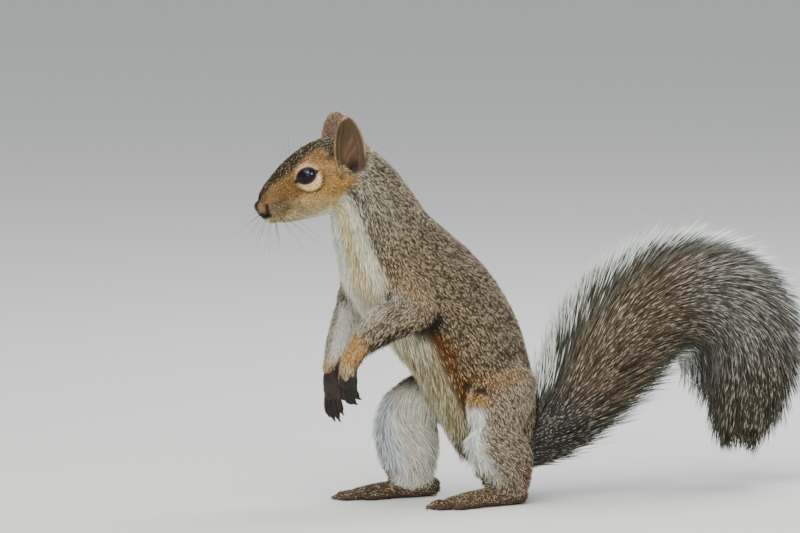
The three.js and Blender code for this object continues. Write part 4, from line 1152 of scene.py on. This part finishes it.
def hair_finish(name, dark, pale, root_shade, roughness, contrast, bands, fringed=False):
    """Keratin hair. Each tuft is dark, plain or pale-banded by its own chance number."""
    made, tree, surface = finish(name, roughness, IOR=1.55, Specular_IOR_Level=0.14)
    colour = add(tree, "ShaderNodeAttribute", attribute_name="coat_colour").outputs["Color"]
    along, chance, dark_share, pale_share, edge = (
        painted(tree, n) for n in ("along", "chance", "dark_share", "pale_share", "fringe"))
    is_dark = calc(tree, "LESS_THAN", chance, dark_share)
    is_pale = calc(tree, "LESS_THAN", calc(tree, "SUBTRACT", 1.0, chance), pale_share)
    to_dark = calc(tree, "MULTIPLY", is_dark, 0.3 + 0.6 * contrast)
    darkened = blend(tree, to_dark, colour, linear(dark))
    tip = add(tree, "ShaderNodeValToRGB", [("Fac", along)])
    stops = tip.color_ramp.elements
    stops[0].position, stops[1].position = 0.0, 1.0
    stops[0].color = (0, 0, 0, 1)
    stops[1].color = (bands[-1][1],) * 3 + (1,)
    for position, level in bands[:-1]:
        stops.new(position).color = (level, level, level, 1)
    to_pale = calc(tree, "MULTIPLY", is_pale, tip.outputs["Color"])
    last = blend(tree, calc(tree, "MULTIPLY", to_pale, contrast), darkened, linear(pale))
    if fringed:  # towards the edges of the tail there is a dark band, then white
        ragged = calc(tree, "MULTIPLY_ADD", chance, 0.14, edge)
        band = mapped(tree, ragged, From_Min=0.63, From_Max=0.75, To_Max=0.75)
        last = blend(tree, band, last, linear("41443c"))
        white = mapped(tree, ragged, From_Min=0.82, From_Max=0.9, To_Max=0.92)
        last = blend(tree, white, last, linear("cfd6cf"))
    # Painted shade: each tuft is darker towards its root, where the coat over it keeps the light off.
    root = mapped(tree, along, From_Min=0.0, From_Max=0.55, To_Min=root_shade, To_Max=1.06)
    vary = mapped(tree, chance, To_Min=0.84, To_Max=1.16)
    level = calc(tree, "MULTIPLY", root, vary)
    tree.links.new(scaled(tree, last, level), surface.inputs["Base Color"])
    return made


living_skin = skin_finish()
# How pale a banded hair is along its length.
one_band = ((0.42, 0.0), (0.52, 1.0), (0.84, 1.0), (0.93, 0.2), (1.0, 0.1))
pale_tip = ((0.3, 0.0), (0.62, 1.0), (1.0, 1.0))
two_bands = (
    (0.43, 0.0), (0.47, 1.0), (0.56, 1.0), (0.6, 0.0), (0.74, 0.0), (0.78, 1.0), (0.87, 1.0), (0.91, 0.15),
    (1.0, 0.1))
face_hair = hair_finish("face_hair", "2d2216", "d9c7a2", 0.62, 0.62, 0.5, one_band)
guard_hair = hair_finish("guard_hair", "241d15", "cab896", 0.5, 0.62, 0.76, one_band)
belly_hair = hair_finish("belly_hair", "4a4030", "f4f1e0", 0.72, 0.65, 0.62, pale_tip)
tail_hair = hair_finish("tail_hair", "2b261e", "b0a998", 0.6, 0.58, 0.55, two_bands, fringed=True)
skin.data.materials.clear()
skin.data.materials.append(living_skin)
print("finishes made")

# %% [markdown]
# ## The coat
# Single hairs would be far too many, and clumps of hair that lie together are what the eye sees anyway.
# So one slim tuft is modelled, a bent blade with a ridge, and Geometry Nodes scatter it over the skin.
# Each copy points along the lie of the coat and is as long and wide as the skin says there. The tree
# ends by making the copies real, because a scattered copy is only a reference to the first one.


# %% One tuft
RIDGE = 0.42  # how high a tuft's ridge is, as a share of its width


def tuft(name, shares, widths, arch):
    """A closed blade 1 long along X, with a ridge on top and a point at both ends. It rises by arch."""
    rise = [arch * math.sin(math.pi * share) - 0.02 for share in shares]
    points, along, across, faces = [(shares[0], 0, rise[0])], [0.0], [0.0], []
    for share, wide, high in zip(shares[1:-1], widths, rise[1:-1]):
        for y, z in ((-0.5, 0.0), (0.0, RIDGE), (0.5, 0.0)):
            points.append((share, y * wide, high + z * wide))
            along.append(share)
            across.append(y)
    points.append((shares[-1], 0, rise[-1]))
    along.append(1.0)
    across.append(0.0)
    last = len(points) - 1
    for j in range(3):
        k = (j + 1) % 3
        faces += [(0, 1 + j, 1 + k), (last, last - 3 + k, last - 3 + j)]
        for ring in range(len(widths) - 1):
            a, b = 1 + 3 * ring + j, 1 + 3 * ring + k
            faces += [(a, a + 3, b + 3), (a, b + 3, b)]
    made = mesh_object(name, [tuple(map(float, point)) for point in points], faces)
    face_outward(made.data)
    made.data.shade_smooth()
    store(made.data, "along", "FLOAT", along)
    store(made.data, "across", "FLOAT", across)
    return made


short_tuft = tuft("short_tuft", (0, 0.56, 1), [1], 0.06)
long_tuft = tuft("long_tuft", (0, 0.3, 0.68, 1), [1, 0.7], 0.07)
tail_strand = tuft("tail_strand", (0, 0.4, 0.86, 1), [0.9, 0.9], 0.05)


# %% The tree that grows it
COAT_INPUTS = {
    "Patch": "Int", "Tufts per mm2": "Float", "Tuft": "Object", "Seed": "Int", "Stray": "Float",
    "Clump mm": "Float", "Clumping": "Float", "Shortest": "Float", "Finish": "Material"}
STRAY_SEED, GROW_SEED = 7.0, 13.0  # added to a piece's own seed for its second and third draws


def coat_tree():
    tree = bpy.data.node_groups.new("grow_coat", "GeometryNodeTree")
    tree.interface.new_socket("Geometry", in_out="INPUT", socket_type="NodeSocketGeometry")
    for name, kind in COAT_INPUTS.items():
        tree.interface.new_socket(name, in_out="INPUT", socket_type="NodeSocket" + kind)
    tree.interface.new_socket("Geometry", in_out="OUTPUT", socket_type="NodeSocketGeometry")
    given = add(tree, "NodeGroupInput").outputs

    def stored(name, kind):
        return add(tree, "GeometryNodeInputNamedAttribute", [("Name", name)],
                   data_type=kind).outputs["Attribute"]

    def keep(points, name, kind, value):
        links = [("Geometry", points), ("Name", name), ("Value", value)]
        return add(tree, "GeometryNodeStoreNamedAttribute", links, data_type=kind, domain="POINT").outputs[0]

    def vectors(operation, first, second):
        return add(tree, "ShaderNodeVectorMath", [(0, first), (1, second)], operation=operation).outputs[0]

    patch, thick_, lie_, size_ = (stored(name, kind) for name, kind in (
        ("patch", "INT"), ("thick", "FLOAT"), ("lie", "FLOAT_VECTOR"), ("hair_size", "FLOAT_VECTOR")))
    here = add(tree, "FunctionNodeCompare", [(2, patch), (3, given["Patch"])], data_type="INT",
               operation="EQUAL")
    density = calc(tree, "MULTIPLY", calc(tree, "MULTIPLY", given["Tufts per mm2"], 1e6), thick_)
    roots = add(tree, "GeometryNodeDistributePointsOnFaces", [
        ("Mesh", given["Geometry"]), ("Selection", here.outputs["Result"]), ("Density", density),
        ("Seed", given["Seed"])], distribute_method="RANDOM")
    chance = add(tree, "FunctionNodeRandomValue", [("Seed", given["Seed"])], data_type="FLOAT")
    kept = keep(roots.outputs["Points"], "chance", "FLOAT", chance.outputs[1])
    kept = keep(kept, "grow_normal", "FLOAT_VECTOR", roots.outputs["Normal"])
    normal = stored("grow_normal", "FLOAT_VECTOR")
    place = add(tree, "GeometryNodeInputPosition")
    wave = add(tree, "ShaderNodeTexNoise", [
        ("Scale", calc(tree, "DIVIDE", 1000.0, given["Clump mm"])), ("Vector", place.outputs[0]),
        ("Detail", 1.0)], noise_dimensions="3D")
    clump = scaled(tree, vectors("SUBTRACT", wave.outputs["Color"], (0.5, 0.5, 0.5)), given["Clumping"])
    loose = add(tree, "FunctionNodeRandomValue", [
        ("Seed", calc(tree, "ADD", given["Seed"], STRAY_SEED)), ("Min", (-1, -1, -1)), ("Max", (1, 1, 1))],
        data_type="FLOAT_VECTOR")
    stray = scaled(tree, loose.outputs[0], given["Stray"])
    way = vectors("ADD", vectors("ADD", lie_, clump), stray)
    turn = add(tree, "FunctionNodeAxesToRotation", [
        ("Primary Axis", way), ("Secondary Axis", normal)], primary_axis="X", secondary_axis="Z")
    grow = add(tree, "FunctionNodeRandomValue", [
        ("Seed", calc(tree, "ADD", given["Seed"], GROW_SEED)), (2, given["Shortest"]), (3, LONGEST)],
        data_type="FLOAT")
    size = scaled(tree, size_, grow.outputs[1])
    shape = add(tree, "GeometryNodeObjectInfo", [("Object", given["Tuft"])], transform_space="ORIGINAL")
    copies = add(tree, "GeometryNodeInstanceOnPoints", [
        ("Points", kept), ("Instance", shape.outputs["Geometry"]), ("Rotation", turn.outputs[0]),
        ("Scale", size)])
    real = add(tree, "GeometryNodeRealizeInstances", [("Geometry", copies.outputs[0])])
    dressed = add(tree, "GeometryNodeSetMaterial", [
        ("Geometry", real.outputs[0]), ("Material", given["Finish"])])
    add(tree, "NodeGroupOutput", [(0, dressed.outputs[0])])
    return tree


grow_coat = coat_tree()
socket_of = {s.name: s.identifier for s in grow_coat.interface.items_tree if s.in_out == "INPUT"}
print("coat tree with inputs", sorted(socket_of))

# %% Growing each piece of the coat
PATCH_SIZE = 0.003  # of a tuft's own patch on the skin plan
SKIN_LIGHT = 0.6  # how far a tuft is lit like the skin under it, as loose fur is
LOWEST = 0.0001  # metres above the floor
SPARE = ("OFBake", "across", "thick", "lie", "hair_size", "bare", "under", "grow_normal", "patch")


def fringe(points):
    """0 in the tail's middle plane, 1 at the edges of the brush and at its tip."""
    index = nearest_on(points, tail_middle)
    offset = ((points - tail_middle[index]) * tail_back[index]).sum(1)
    share = np.abs(offset) / np.where(offset > 0, tail_sizes[index, 1], tail_sizes[index, 2])
    at = tail_stations[index]
    share *= 1 - 0.22 * (offset < 0) * ramp(at, 5.8, 7.0)  # no white inside the bend of the arch
    return np.maximum(share * (0.72 + 0.28 * ramp(at, 1.8, 3.5)), ramp(at, 10.4, 12.0) * 0.98)


def grow_piece(name, settings):
    """One coat piece on one patch of the skin, as a plain mesh with its own place on the skin plan."""
    base = placed(name, skin.data)
    growing = base.modifiers.new("growing", "NODES")
    growing.node_group = grow_coat
    for label, value in settings.items():
        growing[socket_of[label]] = value
    mesh = evaluated(base)
    base.modifiers.clear()
    base.data = mesh
    plan, outward, along, across = (
        read(mesh.attributes[layer].data, key, wide) for layer, key, wide in (
            ("OFBake", "vector", 2), ("grow_normal", "vector", 3), ("along", "value", 1),
            ("across", "value", 1)))
    plan = plan + PATCH_SIZE * np.stack([along - 0.5, across], 1)
    above_floor = co_of(mesh)
    above_floor[:, 2] = np.maximum(above_floor[:, 2], LOWEST)
    mesh.vertices.foreach_set("co", above_floor.astype(np.float32).ravel())
    if name.startswith("coat_tail"):
        store(mesh, "fringe", "FLOAT", fringe(to_animal(above_floor)))
    mesh.normals_split_custom_set_from_vertices(
        unit(SKIN_LIGHT * outward + (1 - SKIN_LIGHT) * normals_of(mesh)).tolist())
    for layer in SPARE:
        if layer in mesh.attributes:
            mesh.attributes.remove(mesh.attributes[layer])
    corners = read(mesh.loops, "vertex_index", kind=np.int32)
    mesh.uv_layers.new(name="OFBake").data.foreach_set(
        "uv", np.clip(plan, 0, 1)[corners].astype(np.float32).ravel())
    mesh.calc_loop_triangles()
    print(name, len(mesh.loop_triangles), "triangles")
    return base


# Each row has the inputs of the tree in their order, and then the piece's slot.
COATS = {
    "coat_head": (HEAD_COAT, 4.2, short_tuft, 3, 0.16, 3.0, 0.12, 0.6, face_hair, "head_fur"),
    "coat_back_left": (BACK_LEFT, 3.4, short_tuft, 5, 0.2, 3.0, 0.12, 0.55, guard_hair, "back_fur"),
    "coat_back_right": (BACK_RIGHT, 3.1, short_tuft, 6, 0.2, 3.0, 0.12, 0.55, guard_hair, "back_fur"),
    "coat_belly": (BELLY, 1.05, long_tuft, 7, 0.12, 6.0, 0.5, 0.65, belly_hair, "pale_fur"),
    "coat_arms": (ARMS, 3.9, short_tuft, 9, 0.24, 3.0, 0.18, 0.55, guard_hair, "flank_fur"),
    "coat_leg_left": (LEG_LEFT, 4.2, short_tuft, 11, 0.26, 3.0, 0.15, 0.55, guard_hair, "flank_fur"),
    "coat_leg_right": (LEG_RIGHT, 3.8, short_tuft, 12, 0.26, 3.0, 0.15, 0.55, guard_hair, "flank_fur"),
    "coat_tail_root": (TAIL_ROOT, 1.75, tail_strand, 13, 0.17, 7.0, 0.4, 0.3, tail_hair, "tail_fur"),
    "coat_tail_arch": (TAIL_ARCH, 1.75, tail_strand, 15, 0.17, 7.0, 0.4, 0.3, tail_hair, "tail_fur"),
    "coat_tail_end": (TAIL_END_COAT, 1.45, tail_strand, 17, 0.18, 8.0, 0.45, 0.3, tail_hair, "tail_fur")}
finished = []
for name, (*row, slot) in COATS.items():
    settings = dict(zip(COAT_INPUTS, row))
    share = 1.0
    settings["Tufts per mm2"] *= share
    finished.append((grow_piece(name, settings), slot))
for shape in (short_tuft, long_tuft, tail_strand):
    bpy.data.objects.remove(shape)
print("coat in all:", sum(len(thing.data.loop_triangles) for thing, _ in finished), "triangles")

# %% [markdown]
# ## Eyes and lid rims
# The eye is a wet dark ball. Its black comes from the wide pupil behind a clear cornea, so it is a deep
# brown gloss that mirrors the catch lights. The lid rim is bare black skin, moist at the edge. It is a
# thin tube laid along the opening, drawn out to a point at both corners.


# %% Eyes
EYE_SEGMENTS = 48


def ball(name, centre, radius):
    form = bmesh.new()
    bmesh.ops.create_uvsphere(form, u_segments=EYE_SEGMENTS, v_segments=EYE_SEGMENTS // 2 + 1,
                              radius=radius / 1000, matrix=Matrix.Translation(to_scene(centre)))
    mesh = bpy.data.meshes.new(name)
    form.to_mesh(mesh)
    form.free()
    mesh.shade_smooth()
    return placed(name, mesh)


def grained(name, roughness, scale, dark, light, **sockets):
    """A finish whose colour drifts between two tones, as hardly anything grown is of one tone."""
    made, tree, surface = finish(name, roughness, **sockets)
    place = add(tree, "ShaderNodeTexCoord")
    grain = add(tree, "ShaderNodeTexNoise", [("Vector", place.outputs["Object"]), ("Scale", scale)])
    tone = blend(tree, grain.outputs["Fac"], linear(dark), linear(light))
    tree.links.new(tone, surface.inputs["Base Color"])
    return made


# The blue Specular Tint colours the cornea's reflections as a pale sky would: a painted sky colour.
wet_eye = grained("wet_cornea", 0.03, 400.0, "070504", "1a0f09", IOR=1.376, Specular_IOR_Level=0.48,
                  Specular_Tint=linear("a9c0ea"))  # a dark iris behind a clear cornea, under a pale sky
for side, word in ((1, "left"), (-1, "right")):
    eye = ball("eyeball_" + word, EYE_PLACES[side], EYE_RADIUS)
    eye.data.materials.append(wet_eye)
    wet_things.objects.link(eye)
    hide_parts("eye_" + word)
    finished.append((eye, "eye_gloss"))


# %% Lid rims
def sweep(path, radii, sides=8, looped=False):
    """Rings of points round a path. radii are one radius for each point of the path."""
    path = np.asarray(path, float)
    ahead = np.roll(path, -1, 0) - np.roll(path, 1, 0) if looped else np.gradient(path, axis=0)
    ways = unit(ahead)
    helper = np.array([0.0, 0, 1]) if abs(ways[0][2]) < 0.9 else np.array([1.0, 0, 0])
    rings = []
    for place, way, radius in zip(path, ways, radii):
        helper = unit(helper - way * (helper @ way))
        other = np.cross(way, helper)
        turns = np.linspace(0, 2 * math.pi, sides, endpoint=False)
        rings.append(place + radius * (np.outer(np.cos(turns), helper) + np.outer(np.sin(turns), other)))
    return rings


def joined_mesh(name, parts, look):
    """One smooth object from several closed lots of points and faces, in the animal's millimetres."""
    points, faces = [], []
    for part_points, part_faces in parts:
        shift = sum(len(p) for p in points)
        points.append(part_points)
        faces += [tuple(shift + i for i in f) for f in part_faces]
    made = mesh_object(name, to_scene(np.vstack(points)), faces)
    face_outward(made.data)
    made.data.shade_smooth()
    made.data.materials.append(look)
    return made


RIM_STEPS, RIM_RADIUS = 72, 0.5


def lid_rim(side):
    along, high, outward = eye_axes(side)
    turns = np.linspace(0, 2 * math.pi, RIM_STEPS, endpoint=False)
    front = np.exp(-((np.abs(turns - math.pi)) / 0.26) ** 2)
    rear = np.exp(-(np.minimum(turns, 2 * math.pi - turns) / 0.24) ** 2)
    a = np.cos(turns) * (LID_ACROSS - 0.1) * (1 + 0.42 * front + 0.26 * rear)
    c = np.sin(turns) * (LID_HIGH - 0.1) - 0.3 * front - 0.4 * rear
    n = np.sqrt(np.maximum((EYE_RADIUS + 0.1) ** 2 - a**2 - c**2, 0.0)) - 0.55 * front - 0.3 * rear
    n = np.where(np.hypot(a, c) > 6.0, np.maximum(n, 2.0), n)
    path = EYE_PLACES[side] + np.outer(a, along) + np.outer(c, high) + np.outer(n, outward)
    rings = sweep(path, RIM_RADIUS - 0.12 * front - 0.12 * rear, looped=True)
    sides = len(rings[0])
    points = np.vstack(rings)
    count = len(rings)
    faces = [(i * sides + j, i * sides + (j + 1) % sides, ((i + 1) % count) * sides + (j + 1) % sides,
              ((i + 1) % count) * sides + j) for i in range(count) for j in range(sides)]
    return points, faces


# bare black skin, wetted by the eye
moist_rim = grained("moist_rim", 0.3, 2500.0, "0d0a09", "2a211d", IOR=1.4, Specular_IOR_Level=0.3)
finished.append((joined_mesh("lid_rims", [lid_rim(1), lid_rim(-1)], moist_rim), "eye_gloss"))

# %% [markdown]
# ## Claws
# A claw is a curved, pointed sheath of horn, narrow from side to side. Each grows on from the arc of its
# own finger or toe, so its place follows from the same few sizes: where the digit leaves the paw, how
# long it is and how far it bends.

# %% Claws
CLAW_LENGTH = 3.8
RINGS = 9  # along a claw or a whisker
PALM_LENGTH, FINGER_LENGTH, FINGER_RADIUS, FINGER_SPREAD, FINGER_FAN = 13, 13.5, 1.75, 4.6, 0.1
FOOT_LENGTH, TOE_LENGTH, TOE_RADIUS = 48, 15, 2.5
HANDS = {1: ((17.2, -81, 82), (-1, -1.5, -12), (0.92, 0.38, 0), 1.0),
         -1: ((-15, -77.2, 72.5), (1, -0.6, -12), (0.95, 0.3, 0), 0.4)}
FINGERS = [(-1, 0.85), (-0.34, 1), (0.34, 0.98), (1, 0.7)]
HEELS = {1: ((27, 22, 0), 5), -1: ((-26.5, -6, 0), 4)}
TOES = [(1, 0.62, 0.8), (0.5, 0.96, 0.97), (0, 1.02, 1), (-0.5, 0.98, 0.97), (-1, 0.72, 0.86)]


def claw(root, forward, down, long, radius, curl, hook):
    """The horn that goes on from the end of a digit on its arc."""
    rings_at = np.linspace(long * 0.86, long + CLAW_LENGTH * 0.85, RINGS)
    turn = curl * np.minimum(rings_at, long) / long
    past = np.maximum(rings_at - long, 0)
    ahead = (long / curl) * np.sin(turn) + past * np.cos(turn + hook * past)
    drop = (long / curl) * (1 - np.cos(turn)) + past * np.sin(turn + hook * past)
    path = root + np.outer(ahead, forward) + np.outer(drop, down)
    return tube(sweep(path, radius * 0.5 * (1 - np.linspace(0, 1, RINGS) ** 1.6) + 0.05))


def hand_claws(side):
    at, reach, across, curl = HANDS[side]
    reach, across = unit(reach), unit(across)
    inward = unit(np.cross(across, reach))
    made = []
    for spread, long in FINGERS:
        forward = unit(reach + across * spread * FINGER_FAN)
        knuckle = np.array(at) + reach * PALM_LENGTH * 0.9 + inward * 1.2 + across * spread * FINGER_SPREAD
        made.append(claw(knuckle, forward, inward, FINGER_LENGTH * long, FINGER_RADIUS, curl, 0.1))
    return made


def foot_claws(side):
    heel, toe_out = HEELS[side]
    turn = math.radians(toe_out) * side
    forward = np.array([math.sin(turn), -math.cos(turn), 0])
    inner = np.array([-side * math.cos(turn), -side * math.sin(turn), 0])
    made = []
    for spread, long, set_ in TOES:
        way = unit(forward + inner * spread * 0.2)
        knuckle = (np.array(heel) + forward * (FOOT_LENGTH * set_ - 3) + inner * spread * 7
                   + np.array([0, 0, TOE_RADIUS]))
        made.append(claw(knuckle, way, np.array([0, 0, -1.0]), TOE_LENGTH * long, TOE_RADIUS, 0.12, 0.03))
    return made


horn = grained("claw_horn", 0.34, 1500.0, "15100d", "3d3027", IOR=1.54)  # keratin, slightly clear
for side, word in ((1, "left"), (-1, "right")):
    finished.append((joined_mesh("claws_hand_" + word, hand_claws(side), horn), "paw_skin"))
    finished.append((joined_mesh("claws_foot_" + word, foot_claws(side), horn), "paw_skin"))

# %% [markdown]
# ## Whiskers
# Whiskers grow in rows from the pad beside the nose, with a few above the eye. They are stiff black hairs
# that taper to nothing and sag a little, so each is a thin tapered tube on a curve.

# %% Whiskers
WHISKER_ROWS, IN_A_ROW, OVER_EYE = 4, 4, 3
whisker_rng = np.random.default_rng(29)
surface_tree = BVHTree.FromPolygons([v.co.copy() for v in skin.data.vertices],
                                    [list(p.vertices) for p in skin.data.polygons])


def whisker(place, way, long, sag, thick_mm):
    """A tapered hair from the skin nearest to a place, which bends down by sag."""
    hit = surface_tree.find_nearest(Vector(to_scene(place)))[0]
    root = to_animal(hit)
    share = np.linspace(0, 1, RINGS)
    path = root + np.outer(share * long, unit(way)) + np.outer(-sag * share**2, [0, 0, 1.0])
    path[0] -= unit(way) * 0.6
    return tube(sweep(path, thick_mm / 2 * (1 - share) ** 0.8 + 0.012, sides=5))


hairs = []
for side in (1, -1):
    for row in range(WHISKER_ROWS):
        for number in range(IN_A_ROW):
            long = 17 + 6.5 * number + whisker_rng.uniform(-2, 3)
            place = from_head(side * (3.6 + 1.2 * number), 3.5 + 2.6 * number, -5.5 - 1.9 * row)
            way = (HEAD_LEFT * side * (0.55 + 0.22 * number) - HEAD_BACK * (0.75 - 0.42 * number)
                   + HEAD_UP * (0.12 - 0.3 * row) + whisker_rng.normal(0, 0.07, 3))
            hairs.append(whisker(place, way, long, 2 + 0.1 * long, 0.2))
    for number in range(OVER_EYE):
        place = from_head(side * (9.5 + number), 24 + 2.5 * number, 10)
        way = (HEAD_UP + HEAD_LEFT * side * 0.45 + HEAD_BACK * (0.25 + 0.15 * number)
               + whisker_rng.normal(0, 0.05, 3))
        hairs.append(whisker(place, way, 13 + 2 * number, -0.5, 0.15))
# stiff black keratin
whisker_black = grained("whisker_keratin", 0.35, 700.0, "0b0908", "241e1a", IOR=1.55)
finished.append((joined_mesh("whiskers", hairs, whisker_black), "head_fur"))

# %% [markdown]
# ## Riding on the frame
# Nothing on this animal moves, so every piece rides on the one body of the model. The skin stands for
# all the nodes of flesh, and the eyes for their own two.

# %% Hand-over
for thing, slot in finished:
    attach(thing, "root")
for spare in ("thick", "lie", "hair_size", "patch", "dark_share", "pale_share"):
    skin.data.attributes.remove(skin.data.attributes[spare])
skin.select_set(False)
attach(skin, "root")
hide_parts(*flesh_nodes, *tail_nodes)
skin.data.calc_loop_triangles()
print("skin", len(skin.data.loop_triangles), "triangles")
